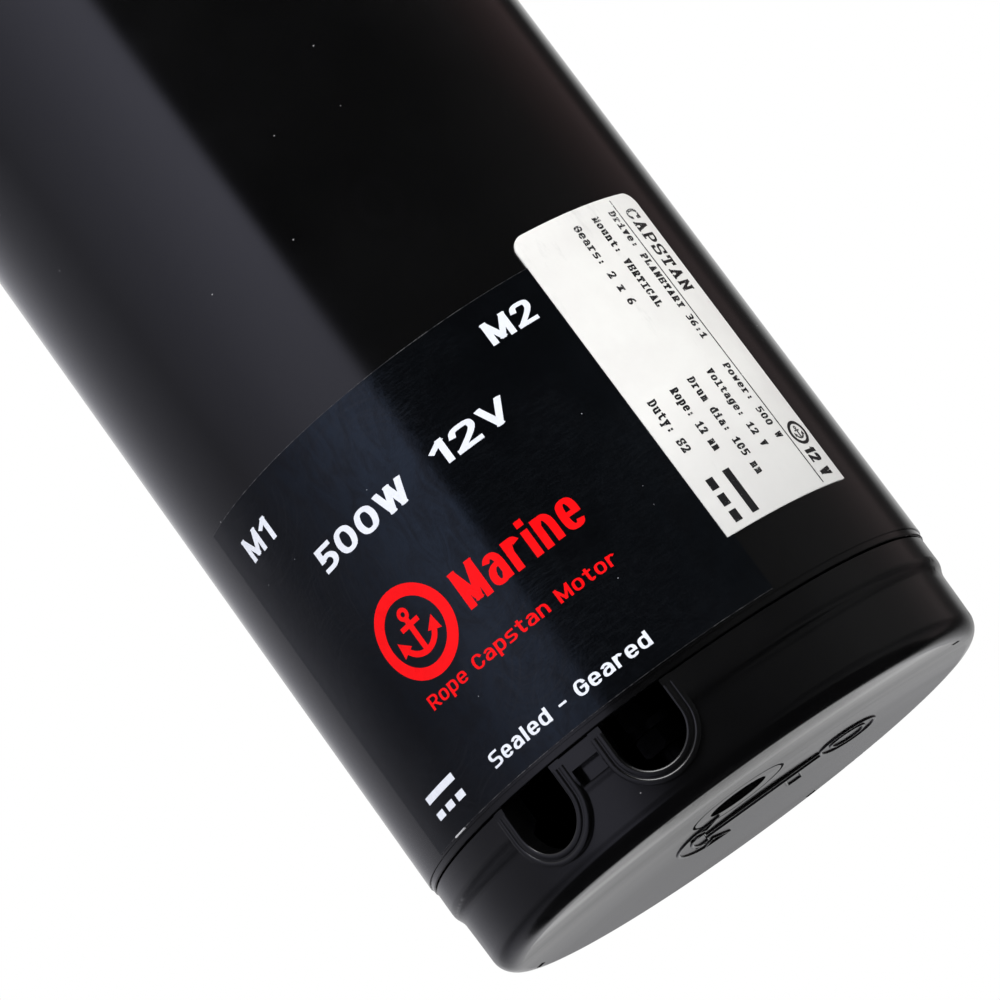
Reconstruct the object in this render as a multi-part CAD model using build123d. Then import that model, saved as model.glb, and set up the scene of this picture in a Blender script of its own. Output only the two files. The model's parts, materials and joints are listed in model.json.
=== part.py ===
from build123d import *
import os
from math import acos, cos, pi, radians, sin, tan

# Vertical capstan for rope: a smooth drum above the deck, a two-stage planetary
# gearbox and a permanent-magnet motor in a round casing below it.
# Origin: centre of the deck face (underside of the gasket). +Z runs up the drum axis.
# The cable ports and labels face -Y. Angles called "facing" start at -Y and grow towards +X.

# ---- driving dimensions, mm ----
DECK = 30.0              # deck thickness between gasket and gearbox flange
FIT = 0.03               # radial clearance of running fits
GAP = 0.3                # clearance between other moving neighbours

CASE_R = 55.0            # motor casing and gearbox body
CASE_WALL = 4.5
BORE_R = CASE_R - CASE_WALL
CASE_LENGTH = 172.0
CASE_LIP = 0.2           # rounding of the casing's lower edge
CASE_END_RISE = 0.5      # how far above the joint's level that edge is
CASE_STEP = (0.25, 1.3)  # the turned step at the casing's lower end: depth and height

FLANGE_R = 76.0          # base flange, gasket and gearbox flange
FLANGE_T = 12.0
GASKET_T = 2.0
STUD_CIRCLE = 130.0
STUD_COUNT = 4
STUD_R = 4.0             # plain shank of an M8 stud
THREAD_R = 3.7           # its threaded ends, at mean diameter
STUD_HOLE_R = 4.5

SHAFT_R = 12.5           # output shaft
MOTOR_SHAFT_R = 7.5
PINION_SHAFT_R = 5.0

KEY_HALF_WIDTH = 4.0
KEY_DEPTH = 4.0          # how far a key sits in the output shaft
KEY_RISE = 3.0           # how far it stands out of it
DRUM_KEY = (58.0, 84.0)
SHAFT_BORE_PLAY = 2.5    # around the output shaft where it only passes through

DRUM_R = 52.5            # largest radius, at the foot of the drum
DRUM_FOOT = 14.5
DRUM_TOP = 102.0
DRUM_HEAD_R = 46.5       # at both ends of the head's rounded rim
DRUM_HEAD = (86.0, 97.0)
DRUM_RECESS_R = 17.0     # room for the screw and washer in the drum's top
RIB_COUNT = 8
RIB_RISE = 2.0
RIB_HALF_WIDTH = 3.5
RIB_HEIGHTS = (26.0, 82.0)
DRUM_WASHER_R = 16.0
DRUM_WASHER_T = 3.0
DRUM_WASHER_HOLE_R = 5.25
DRUM_SCREW_R = 4.3       # thread of an M10 screw, at mean diameter
DRUM_SCREW_SHANK_R = 4.9
DRUM_SCREW_FLATS = 16.0
DRUM_SCREW_HEAD = 6.4
SCREW_POINT_R = 0.01     # leaves a hexagon head solid

# gears: sun, planet and ring are the same size in both stages
MODULE = 1.5
SUN_TEETH = 12
PLANET_TEETH = 24
RING_TEETH = 60
PLANETS = 3
PRESSURE_ANGLE = radians(25)
BACKLASH = 0.12          # taken off each tooth at the pitch circle
GEAR_CENTRES = MODULE * (SUN_TEETH + PLANET_TEETH) / 2

# bearings: bore radius, outer radius, width, ball radius, ball count
OUTPUT_BEARING = (SHAFT_R, 23.5, 12.0, 3.9, 9)
MOTOR_BEARING = (MOTOR_SHAFT_R, 17.5, 11.0, 2.9, 8)
SEAL_WIDTH = 7.0
MOTOR_SEAL_R = 14.0
CLIP_DEPTH = 1.2         # how far a circlip sits in its groove in a bore
BORE_CLIP_T = 1.6
SHAFT_CLIP_DEPTH = 0.8
SHAFT_CLIP_T = 1.2

# end cap: radii, and depths below the casing's lower edge
CAP_RIM_R = 54.5
CAP_RIM_GAP = 0.2        # open joint between the casing and the cap's rim
CAP_RIM_EDGE = 0.2       # chamfer of the rim's upper edge
CAP_RIM_DEPTH = 4.3
CAP_SHOULDER = 3.4       # height of the S curve between the rim and the wall
CAP_WALL_R = 53.6
CAP_DEPTH = 19.5
CAP_CORNER = 4.0
CAP_DISH = 2.3           # how far the underside is hollowed
CAP_WALL = 2.7
CAP_DRAFT = 0.2          # how far the wall leans in towards the underside
CAP_POST_R = 9.0
CAP_SCREW_SEAT = 9.5
CAP_SCREW_RECESS_R = 6.15
CAP_SCREW_HOLE_R = 2.7
CAP_SCREW_R = 2.1
CAP_SCREW_HEAD_R = 4.4
CAP_SCREW_HEAD = 3.6
CAP_SCREW_SOCKET = 3.0   # across its flats
CAP_GROOVE_R = (10.2, 9.6)
CAP_GROOVE_DEPTH = 0.4
CAP_MARK_COUNT = 4       # short moulding marks round the underside
PORT_FACING = (-32.4, -6.4)
PORT_R = 6.5
PORT_COLLAR_R = 8.9
PORT_CENTRE_DEPTH = 5.8
WINDOW_FACING = (-22.3, -16.1)
WINDOW_DEPTHS = (3.0, 6.2)

# labels: thickness, facing angles, and heights above the casing's lower edge
LABEL_T = 0.2
MOTOR_LABEL_FACING = (-61.5, 27.8)
MOTOR_LABEL_HEIGHTS = (2.4, 73.2)
RATING_LABEL_FACING = (26.4, 60.5)
RATING_LABEL_HEIGHTS = (13.95, 79.05)
RATING_LABEL_CORNER = 2.8
CLOCK = sum(PORT_FACING) / 2      # brush gear and through bolts are set from here

# ---- levels along the axis, from the drum down ----
PLATE_TOP = GASKET_T + 10.0
BOSS_R = 30.0            # boss of the base flange, which carries the upper bearing
BOSS_TOP = 50.0
UPPER_BEARING_Z = 28.0            # underside of the upper output bearing
SHAFT_TOP = 86.0
RECESS_FLOOR = 88.0               # seat of the drum washer

HOUSING_TOP = -DECK
SPIGOT_R = 30.0
SPIGOT_TOP = HOUSING_TOP + 12.0
LOWER_BEARING_Z = HOUSING_TOP - 17.0   # underside of the lower output bearing
GEAR_ROOM_TOP = HOUSING_TOP - 21.0
CARRIER2_TOP = GEAR_ROOM_TOP - 1.0
CARRIER2_T = 12.0
STAGE2_TOP = CARRIER2_TOP - CARRIER2_T - 1.0
STAGE2_WIDTH = 18.0
CARRIER1_TOP = STAGE2_TOP - STAGE2_WIDTH - 2.5
CARRIER1_T = 5.0
STAGE1_TOP = CARRIER1_TOP - CARRIER1_T - 1.0
STAGE1_WIDTH = 14.0
RING_TOP = STAGE2_TOP + 0.5
TEETH_END = STAGE1_TOP - STAGE1_WIDTH - 0.5
RING_END = TEETH_END - 6.0

CASE_TOP = RING_END - 2.0
JOINT = CASE_TOP - CASE_LENGTH         # casing's lower edge, where the end cap meets it
SHIELD_T = 10.0
FRONT_BEARING_Z = RING_END - 20.0      # underside of the front motor bearing
REAR_SHIELD_END = JOINT + 4.0
REAR_BEARING_Z = REAR_SHIELD_END + 2.0
REAR_BOSS_TOP = REAR_BEARING_Z + MOTOR_BEARING[2]
CORE_TOP = CASE_TOP - 34.0
CORE_LENGTH = 88.0
CORE_END = CORE_TOP - CORE_LENGTH
CORE_R = 43.0
MAGNET_R = 44.0
COMMUTATOR_R = 20.0
COMMUTATOR_TOP = CORE_END - 11.5
COMMUTATOR_END = COMMUTATOR_TOP - 20.0
BRUSH_PLATE_TOP = REAR_BOSS_TOP + 3.0
BRUSH_Z = BRUSH_PLATE_TOP + 8.5
BRUSH_WIDTH = 10.0       # tangential, and its height along the axis
BRUSH_HEIGHT = 14.0
BRUSH_BACK = 33.0        # radius of the brush's outer end
HOLDER_BACK = 40.5       # radius of the holder's closed end, inside
BOLT_CIRCLE_R = 47.2     # through bolts
RING_SCREW_CIRCLE_R = 47.4
RING_SCREW_R = 1.7
THROUGH_BOLT_R = 2.1
THROUGH_BOLT_HOLE_R = 2.7
THROUGH_BOLT_HEAD_R = 3.2
THROUGH_BOLT_SINK_R = 3.6
THROUGH_BOLT_SINK = 3.4
TERMINAL_R = 35.5
TERMINAL_STUD_R = 3.0
TERMINAL_HOLE_R = 5.0
TERMINAL_FLANGE_R = 7.0
TERMINAL_FLATS = 10.0
TERMINAL_NUT_T = 4.0
TERMINAL_WASHER_T = 1.6
SHIELD_PLATE_T = 5.0     # rear end shield's plate
SHIELD_POST = 6.0        # its centre post, which the cap screw holds
SHIELD_POST_R = 8.0
CAP_FLOOR = JOINT - CAP_DEPTH + CAP_DISH + CAP_WALL


# ---- small helpers ----
def disc(radius, top, bottom):
    return Pos(0, 0, (top + bottom) / 2) * Cylinder(radius, top - bottom)


def ring(outer, inner, top, bottom):
    return disc(outer, top, bottom) - disc(inner, top + 1, bottom - 1)


def rod(radius, top, bottom, out=0.0):
    return Pos(out, 0, 0) * disc(radius, top, bottom)


def block(x, y, z):
    """A box between two limits on each axis."""
    return Pos(sum(x) / 2, sum(y) / 2, sum(z) / 2) * Box(x[1] - x[0], y[1] - y[0], z[1] - z[0])


def lathe(*edges):
    """A solid turned about Z from an outline of (radius, height) points or ready-made edges."""
    lines = []
    for edge in edges:
        lines += [edge] if isinstance(edge, Edge) else Polyline(*edge).edges()
    return revolve(Plane.XZ * make_face(lines), Axis.Z)


def turned(*points):
    return revolve(Plane.XZ * make_face(Polyline(*points, close=True)), Axis.Z)


def facing(angle):
    """Turns the +X direction to an angle measured from -Y towards +X."""
    return Rot(0, 0, angle - 90)


def around(shape, count, start=0.0):
    return [Rot(0, 0, start + 360 / count * i) * shape for i in range(count)]


def sector(outer, inner, start, end, top, bottom):
    """Part of a ring between two facing angles."""
    face = Plane.XZ * make_face(
        Polyline((inner, bottom), (outer, bottom), (outer, top), (inner, top), close=True)
    )
    return facing(start) * revolve(face, Axis.Z, revolution_arc=end - start)


def hexagon(flats, top, bottom):
    shape = extrude(RegularPolygon(flats / 2, 6, major_radius=False), top - bottom)
    return Pos(0, 0, bottom) * shape


def nut(flats, hole, top, bottom):
    bevel = turned((0, bottom), (flats * 0.53, bottom), (flats * 0.58, bottom + 0.6),
                   (flats * 0.58, top - 0.6), (flats * 0.53, top), (0, top))
    return (hexagon(flats, top, bottom) & bevel) - disc(hole, top + 1, bottom - 1)


def solids(*shapes):
    found = []
    for shape in shapes:
        found += solids(*shape) if isinstance(shape, (list, tuple)) else shape.solids()
    return found


def save(node, *shapes):
    found = solids(*shapes)
    export_step(found[0] if len(found) == 1 else Compound(found), f"parts/{node}.step")


# ---- bearings ----
def ball_bearing(size, bottom):
    """Outer ring, inner ring, balls and cage of a deep-groove bearing on the Z axis."""
    bore, outer, width, ball_r, count = size
    pitch = (bore + outer) / 2
    top = bottom + width
    middle = bottom + width / 2
    shoulder = ball_r * 0.45
    track = Pos(0, 0, middle) * Torus(pitch, ball_r + FIT)
    outer_ring = ring(outer, pitch + shoulder, top, bottom) - track
    inner_ring = ring(pitch - shoulder, bore, top, bottom) - track
    balls = around(Pos(pitch, 0, middle) * Sphere(ball_r), count)
    half_cage = ball_r * 1.2
    cage = ring(pitch + shoulder / 2, pitch - shoulder / 2, middle + half_cage, middle - half_cage)
    pocket = Pos(pitch, 0, middle) * Rot(0, 90, 0) * Cylinder(ball_r + FIT, 4 * shoulder)
    return outer_ring, inner_ring, balls, cage - around(pocket, count)


# ---- gears ----
def involute(angle):
    return tan(angle) - angle


def tooth_outline(teeth, inner, outer, widen, steps=3):
    """Half-angles of a tooth at a few radii between its root and its tip."""
    pitch = MODULE * teeth / 2
    base = pitch * cos(PRESSURE_ANGLE)
    rows = []
    for i in range(steps + 1):
        radius = inner + (outer - inner) * i / steps
        pressure = acos(min(1.0, base / radius))
        half = pi / (2 * teeth) + involute(PRESSURE_ANGLE) - involute(pressure) + widen / (2 * pitch)
        rows.append((radius, half))
    return rows


def gear_face(teeth, inner, outer, widen):
    """A toothed outline. With widen negative it is a gear, with widen positive a cutter for a ring."""
    rows = tooth_outline(teeth, inner, outer, widen)
    points = []
    for tooth in range(teeth):
        centre = 2 * pi * tooth / teeth
        for side, flank in ((-1, rows), (1, reversed(rows))):
            for radius, half in flank:
                angle = centre + side * half
                points.append((radius * cos(angle), radius * sin(angle)))
    return make_face(Polyline(*points, close=True))


def outside_gear(teeth, top, bottom, turn=0.0):
    pitch = MODULE * teeth / 2
    face = gear_face(teeth, pitch - 1.25 * MODULE, pitch + MODULE, -BACKLASH)
    return Pos(0, 0, bottom) * Rot(0, 0, turn) * extrude(face, top - bottom)


def ring_cutter(teeth, top, bottom):
    """Tooth spaces of a ring gear, turned so that a tooth stands on the +X axis."""
    pitch = MODULE * teeth / 2
    face = gear_face(teeth, pitch - MODULE, pitch + 1.25 * MODULE, BACKLASH)
    return Pos(0, 0, bottom) * Rot(0, 0, 180 / teeth) * extrude(face, top - bottom)


def planet_gear(top, bottom, pin_r):
    gear = outside_gear(PLANET_TEETH, top, bottom, 180 / PLANET_TEETH)
    return Pos(GEAR_CENTRES, 0, 0) * (gear - disc(pin_r + FIT, top + 1, bottom - 1))


def headed_pins(pin_r, top, gear_bottom):
    """Planet pins, pressed into the carrier above, with a head below the planet."""
    head = rod(pin_r + 2, gear_bottom - GAP, gear_bottom - GAP - 0.9, GEAR_CENTRES)
    return around(rod(pin_r, top, gear_bottom - GAP, GEAR_CENTRES) + head, PLANETS)


def pin_holes(pin_r, top, bottom):
    return around(rod(pin_r, top + 1, bottom - 1, GEAR_CENTRES), PLANETS)


# ---- above the deck ----
def stud_holes(radius, top, bottom):
    return around(rod(radius, top, bottom, STUD_CIRCLE / 2), STUD_COUNT, 45)


def base_flange():
    pocket_r = OUTPUT_BEARING[1]
    bore = SHAFT_R + SHAFT_BORE_PLAY
    body = turned((bore, GASKET_T), (FLANGE_R, GASKET_T), (FLANGE_R, PLATE_TOP - 3),
                  (FLANGE_R - 3, PLATE_TOP), (BOSS_R + 4, PLATE_TOP), (BOSS_R, PLATE_TOP + 4),
                  (BOSS_R, BOSS_TOP - 1), (BOSS_R - 1, BOSS_TOP), (pocket_r, BOSS_TOP),
                  (pocket_r, UPPER_BEARING_Z), (bore, UPPER_BEARING_Z))
    body -= stud_holes(THREAD_R, PLATE_TOP - 1, GASKET_T - 1)
    clip = UPPER_BEARING_Z + OUTPUT_BEARING[2]
    return body - disc(pocket_r + CLIP_DEPTH, clip + BORE_CLIP_T, clip)


def deck_gasket():
    return ring(FLANGE_R, 40, GASKET_T, 0) - stud_holes(STUD_HOLE_R, GASKET_T + 1, -1)


def drum_outline(rise):
    """Rope surface from the foot to the head of the drum, moved outwards by rise."""
    points = [(50, 21), (41.5, 34), (38.5, 52), (40, 70), (DRUM_HEAD_R, DRUM_HEAD[0])]
    return Spline(*[(radius + rise, height) for radius, height in points])


def drum():
    rope = drum_outline(0)
    head_bottom, head_top = DRUM_HEAD
    dome = ThreePointArc((DRUM_HEAD_R, head_top), (34, 101.2), (19, DRUM_TOP))
    head = ThreePointArc((DRUM_HEAD_R, head_bottom), (DRUM_HEAD_R + 3, 91), (DRUM_HEAD_R, head_top))
    foot = ThreePointArc((DRUM_R, 17), (52, 19.6), (50, 21))
    body = lathe(
        rope, head, dome, foot,
        [(19, DRUM_TOP), (DRUM_RECESS_R, DRUM_TOP - 1), (DRUM_RECESS_R, RECESS_FLOOR),
         (SHAFT_R, RECESS_FLOOR), (SHAFT_R, 56), (20, 56), (22, 88), (36, 88), (34.5, 66), (34, 50),
         (37, 32), (46, DRUM_FOOT + 2), (46, DRUM_FOOT), (DRUM_R, DRUM_FOOT), (DRUM_R, 17)],
    )
    rib_bottom, rib_top = RIB_HEIGHTS
    raised = lathe(drum_outline(RIB_RISE), [(DRUM_HEAD_R + RIB_RISE, head_bottom), (36, head_bottom),
                                            (36, 21), (50 + RIB_RISE, 21)])
    band = raised & ring(60, 30, rib_top, rib_bottom)
    strips = around(block((36, 60), (-RIB_HALF_WIDTH, RIB_HALF_WIDTH), RIB_HEIGHTS), RIB_COUNT)
    for strip in strips:
        body += (band & strip) - disc(37, 90, 20)
    return body - shaft_key(DRUM_KEY)


def shaft_key(heights):
    """A flat key, partly in the output shaft and partly in what it drives."""
    return block((SHAFT_R - KEY_DEPTH, SHAFT_R + KEY_RISE), (-KEY_HALF_WIDTH, KEY_HALF_WIDTH), heights)


def carrier_key_heights():
    return CARRIER2_TOP - CARRIER2_T + 1, CARRIER2_TOP - 1


def output_shaft():
    body = disc(SHAFT_R, SHAFT_TOP, CARRIER2_TOP - CARRIER2_T)
    body = chamfer(body.edges().group_by(Axis.Z)[-1], 1)
    body -= disc(DRUM_SCREW_R, SHAFT_TOP + 1, SHAFT_TOP - 26)
    body -= shaft_key(DRUM_KEY)
    body -= shaft_key(carrier_key_heights())
    for level in shaft_clip_levels():
        body -= ring(SHAFT_R + 1, SHAFT_R - SHAFT_CLIP_DEPTH, level + SHAFT_CLIP_T, level)
    return body


def shaft_clip_levels():
    """Undersides of the clips under the upper bearing and over the lower one."""
    return UPPER_BEARING_Z - SHAFT_CLIP_T, LOWER_BEARING_Z + OUTPUT_BEARING[2]


def split_clip(outer, inner, top, bottom, opening=5.0):
    return ring(outer, inner, top, bottom) - block((0, outer + 1), (-opening / 2, opening / 2),
                                                   (bottom - 1, top + 1))


def lip_seal(outer, lip, top, bottom):
    """A rubber shaft seal: a steel-backed rim and a thin lip that meets the shaft."""
    middle = (top + bottom) / 2
    return turned((outer, bottom), (outer, top), (outer - 2, top), (outer - 2, middle + 0.8),
                  (lip + 1.2, middle + 0.8), (lip + FIT, middle - 1.2), (lip + FIT, middle - 1.8),
                  (lip + 2.2, bottom))


def save_top():
    save("base_flange", base_flange())
    save("deck_gasket", deck_gasket())
    save("drum", drum())
    washer_top = RECESS_FLOOR + DRUM_WASHER_T
    save("drum_washer", ring(DRUM_WASHER_R, DRUM_WASHER_HOLE_R, washer_top, RECESS_FLOOR))
    thread = disc(DRUM_SCREW_R, RECESS_FLOOR - 2, SHAFT_TOP - 24)
    shank = disc(DRUM_SCREW_SHANK_R, washer_top, RECESS_FLOOR - 2)
    head = nut(DRUM_SCREW_FLATS, SCREW_POINT_R, washer_top + DRUM_SCREW_HEAD, washer_top)
    save("drum_screw", head + shank + thread)
    save("shaft_keys", shaft_key(DRUM_KEY), shaft_key(carrier_key_heights()))
    save("output_shaft", output_shaft())
    save("shaft_circlips",
         [split_clip(SHAFT_R + 1.6, SHAFT_R - SHAFT_CLIP_DEPTH, level + SHAFT_CLIP_T, level)
          for level in shaft_clip_levels()])
    upper_clip = UPPER_BEARING_Z + OUTPUT_BEARING[2]
    save("bearing_circlips",
         [split_clip(OUTPUT_BEARING[1] + CLIP_DEPTH, OUTPUT_BEARING[1] - 2, level + BORE_CLIP_T, level)
          for level in (upper_clip, LOWER_BEARING_Z - BORE_CLIP_T)])
    save("output_shaft_seals", [lip_seal(OUTPUT_BEARING[1], SHAFT_R, top, top - SEAL_WIDTH)
                                for top in (BOSS_TOP - 1, SPIGOT_TOP - 1)])
    upper = ball_bearing(OUTPUT_BEARING, UPPER_BEARING_Z)
    lower = ball_bearing(OUTPUT_BEARING, LOWER_BEARING_Z)
    for name, pair in zip(("outer_rings", "inner_rings", "balls", "cages"), zip(upper, lower)):
        save(f"output_bearing_{name}", *pair)
    save_studs()


def save_studs():
    flange_end = HOUSING_TOP - FLANGE_T
    shank_ends = (-0.5, HOUSING_TOP + 0.5)
    stud = disc(STUD_R, *shank_ends) + disc(THREAD_R, PLATE_TOP - 1.5, flange_end - 14)
    washer = ring(8, STUD_R + 0.2, flange_end, flange_end - 1.6)
    spring = ring(7.2, STUD_R + 0.2, flange_end - 1.6, flange_end - 3.6)
    spring -= Rot(20, 0, 0) * block((3, 9), (-0.5, 0.5), (-80, 0))
    hex_nut = nut(13, THREAD_R, flange_end - 3.6, flange_end - 10.1)
    for name, piece in (("deck_studs", stud), ("stud_washers", washer),
                        ("stud_spring_washers", spring), ("stud_nuts", hex_nut)):
        save(name, around(Pos(STUD_CIRCLE / 2, 0, 0) * piece, STUD_COUNT, 45))


# ---- gearbox ----
def gearbox_housing():
    pocket_r = OUTPUT_BEARING[1]
    pocket_top = LOWER_BEARING_Z + OUTPUT_BEARING[2]
    seal_floor = SPIGOT_TOP - 1 - SEAL_WIDTH
    flange_end = HOUSING_TOP - FLANGE_T
    bore = SHAFT_R + SHAFT_BORE_PLAY
    body = turned(
        (pocket_r, SPIGOT_TOP), (SPIGOT_R - 1, SPIGOT_TOP), (SPIGOT_R, SPIGOT_TOP - 1),
        (SPIGOT_R, HOUSING_TOP), (FLANGE_R, HOUSING_TOP), (FLANGE_R, flange_end),
        (CASE_R, flange_end), (CASE_R, CASE_TOP + 0.5), (CASE_R - 0.5, CASE_TOP), (BORE_R, CASE_TOP),
        (BORE_R, GEAR_ROOM_TOP), (pocket_r, GEAR_ROOM_TOP), (pocket_r, pocket_top),
        (bore, pocket_top), (bore, seal_floor), (pocket_r, seal_floor),
    )
    body -= disc(pocket_r + CLIP_DEPTH, LOWER_BEARING_Z, LOWER_BEARING_Z - BORE_CLIP_T)
    return body - stud_holes(STUD_HOLE_R, HOUSING_TOP + 1, flange_end - 1)


def ring_gear():
    body = ring(BORE_R, 44, RING_TOP, RING_END)
    body += ring(47, 40, RING_TOP, TEETH_END)
    body -= ring_cutter(RING_TEETH, RING_TOP + 1, TEETH_END)
    return body - at_ring_screws(RING_SCREW_R, RING_END + 5, RING_END - 1)


def at_ring_screws(radius, top, bottom):
    return around(rod(radius, top, bottom, RING_SCREW_CIRCLE_R), 4, CLOCK + 45)


def output_carrier():
    bottom = CARRIER2_TOP - CARRIER2_T
    body = ring(34, SHAFT_R, CARRIER2_TOP, bottom)
    body -= pin_holes(5, CARRIER2_TOP, bottom)
    return body - shaft_key(carrier_key_heights())


def save_gearbox():
    save("gearbox_housing", gearbox_housing())
    save("ring_gear", ring_gear())
    shanks = at_ring_screws(RING_SCREW_R, RING_END + 4.5, RING_END - 6)
    heads = at_ring_screws(3, RING_END - 6, RING_END - 9)
    save("ring_gear_screws", [shank + head for shank, head in zip(shanks, heads)])
    save("output_carrier", output_carrier())
    stage2_end = STAGE2_TOP - STAGE2_WIDTH
    stage1_end = STAGE1_TOP - STAGE1_WIDTH
    save("output_carrier_pins", headed_pins(5, CARRIER2_TOP, stage2_end))
    for i, planet in enumerate(around(planet_gear(STAGE2_TOP, stage2_end, 5), PLANETS)):
        save(f"output_planet_{i + 1}", planet)
    carrier_end = CARRIER1_TOP - CARRIER1_T
    sun = outside_gear(SUN_TEETH, STAGE2_TOP - 0.5, CARRIER1_TOP)
    save("output_sun_gear", sun + disc(6, CARRIER1_TOP, carrier_end))
    carrier = ring(33, 6, CARRIER1_TOP, carrier_end)
    save("input_carrier", carrier - pin_holes(4, CARRIER1_TOP, carrier_end))
    save("input_carrier_pins", headed_pins(4, CARRIER1_TOP, stage1_end))
    for i, planet in enumerate(around(planet_gear(STAGE1_TOP, stage1_end, 4), PLANETS)):
        save(f"input_planet_{i + 1}", planet)
    pinion = outside_gear(SUN_TEETH, STAGE1_TOP - 0.5, stage1_end - 1)
    save("motor_pinion", pinion - disc(PINION_SHAFT_R, CARRIER1_TOP, RING_END))


# ---- motor ----
def through_bolt_holes(radius, top, bottom):
    return [facing(CLOCK + turn) * rod(radius, top, bottom, BOLT_CIRCLE_R) for turn in (90, -90)]


def motor_casing():
    end = JOINT + CASE_END_RISE
    step, step_height = CASE_STEP
    body = ring(CASE_R, BORE_R, CASE_TOP, end) - ring(CASE_R + 1, CASE_R - step, end + step_height, end - 1)
    lower_edge = body.edges().filter_by(GeomType.CIRCLE).sort_by(lambda e: (e.center().Z, -e.radius))[0]
    return fillet(lower_edge, CASE_LIP)


def drive_end_shield():
    plate_end = RING_END - SHIELD_T
    pocket_r = MOTOR_BEARING[1]
    pocket_top = FRONT_BEARING_Z + MOTOR_BEARING[2]
    seal_floor = RING_END - SEAL_WIDTH
    bore = MOTOR_SHAFT_R + 1.5
    body = turned((MOTOR_SEAL_R, RING_END), (BORE_R, RING_END), (BORE_R, plate_end), (23, plate_end),
                  (22, FRONT_BEARING_Z), (pocket_r, FRONT_BEARING_Z), (pocket_r, pocket_top),
                  (bore, pocket_top), (bore, seal_floor), (MOTOR_SEAL_R, seal_floor))
    body -= at_ring_screws(RING_SCREW_R + 0.1, RING_END + 1, RING_END - 6)
    body -= at_ring_screws(3.2, RING_END - 6, plate_end - 1)
    return body - through_bolt_holes(THROUGH_BOLT_R, RING_END - 3, plate_end - 1)


def rear_end_shield():
    plate_top = REAR_SHIELD_END + SHIELD_PLATE_T
    post_end = REAR_SHIELD_END - SHIELD_POST
    pocket_r = MOTOR_BEARING[1]
    body = turned((0, post_end), (SHIELD_POST_R, post_end), (SHIELD_POST_R, REAR_SHIELD_END),
                  (BORE_R, REAR_SHIELD_END), (BORE_R, REAR_BOSS_TOP), (43, REAR_BOSS_TOP),
                  (43, plate_top), (22, plate_top), (21.5, REAR_BOSS_TOP), (pocket_r, REAR_BOSS_TOP),
                  (pocket_r, REAR_BEARING_Z), (0, REAR_BEARING_Z))
    body -= disc(CAP_SCREW_R, REAR_SHIELD_END + 0.5, post_end - 1)
    terminal_hole = rod(TERMINAL_HOLE_R, plate_top + 1, REAR_SHIELD_END - 1, TERMINAL_R)
    body -= [facing(angle) * terminal_hole for angle in PORT_FACING]
    body -= through_bolt_holes(THROUGH_BOLT_SINK_R, REAR_SHIELD_END + THROUGH_BOLT_SINK, REAR_SHIELD_END - 1)
    return body - through_bolt_holes(THROUGH_BOLT_HOLE_R, REAR_BOSS_TOP + 1, REAR_SHIELD_END - 1)


def armature_shaft():
    body = disc(MOTOR_SHAFT_R, RING_END - 0.5, REAR_BEARING_Z + 0.5)
    body += disc(MOTOR_SHAFT_R + 2, CORE_TOP + 3, CORE_END - 3)
    return body + disc(PINION_SHAFT_R, STAGE1_TOP - 0.5, RING_END - 1)


SLOTS = 20
SLOT_HALF = 2.4


def winding_slots(play, top, bottom):
    """Slots through the core for the coils, with a narrow mouth at the outside."""
    body = block((30, 40.5), (-SLOT_HALF + play, SLOT_HALF - play), (bottom, top))
    return body, block((40.5 - play, CORE_R + 1), (-1.1, 1.1), (bottom, top))


def armature_core():
    body = ring(CORE_R, MOTOR_SHAFT_R + 2, CORE_TOP, CORE_END)
    slot, mouth = winding_slots(0.0, CORE_TOP + 1, CORE_END - 1)
    return body - around(slot + mouth, SLOTS)


def armature_windings():
    slot, _ = winding_slots(0.2, CORE_TOP + 1, CORE_END - 1)
    coils = ring(41, 24, CORE_TOP + 9, CORE_TOP + 0.3) + ring(41, 24, CORE_END - 0.3, CORE_END - 9)
    for side in (1, -1):
        level = (CORE_TOP + CORE_END) / 2 + side * (CORE_LENGTH / 2 + 9)
        rims = coils.edges().filter_by(GeomType.CIRCLE).filter_by_position(Axis.Z, level - 0.1, level + 0.1)
        coils = fillet(rims, 4)
    for coil in around(slot, SLOTS):
        coils += coil
    return coils


def commutator_bars():
    """Copper bars with a raised tang at the winding end, parted by narrow gaps."""
    pitch = 360 / SLOTS
    bar = sector(COMMUTATOR_R, 13, 0, pitch - 1.4, COMMUTATOR_TOP, COMMUTATOR_END)
    tang = sector(COMMUTATOR_R + 2.5, 19, 0, pitch - 1.4, COMMUTATOR_TOP, COMMUTATOR_TOP - 1.5)
    return around(bar + tang, SLOTS)


def brush_angles():
    return [CLOCK + 45 + 90 * i for i in range(4)]


def at_brushes(shape):
    return [facing(angle) * shape for angle in brush_angles()]


def brush_box():
    """A brass holder, open towards the commutator, with a hole in its back for the lead."""
    play = 0.1
    wall = 1.5
    half_width = BRUSH_WIDTH / 2 + play
    half_height = BRUSH_HEIGHT / 2 + play
    outer_half = half_width + wall - play
    outside = block((COMMUTATOR_R + wall, HOLDER_BACK + wall), (-outer_half, outer_half),
                    (BRUSH_PLATE_TOP, 2 * BRUSH_Z - BRUSH_PLATE_TOP))
    inside = block((0, HOLDER_BACK), (-half_width, half_width), (BRUSH_Z - half_height, BRUSH_Z + half_height))
    lead_hole = Pos(HOLDER_BACK + 0.5, 0, BRUSH_Z) * Rot(0, 90, 0) * Cylinder(1.3, 6)
    return outside - inside - lead_hole


def carbon_brush():
    body = block((15, BRUSH_BACK), (-BRUSH_WIDTH / 2, BRUSH_WIDTH / 2),
                 (BRUSH_Z - BRUSH_HEIGHT / 2, BRUSH_Z + BRUSH_HEIGHT / 2))
    return body - disc(COMMUTATOR_R + FIT, BRUSH_Z + BRUSH_HEIGHT, BRUSH_Z - BRUSH_HEIGHT)


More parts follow.
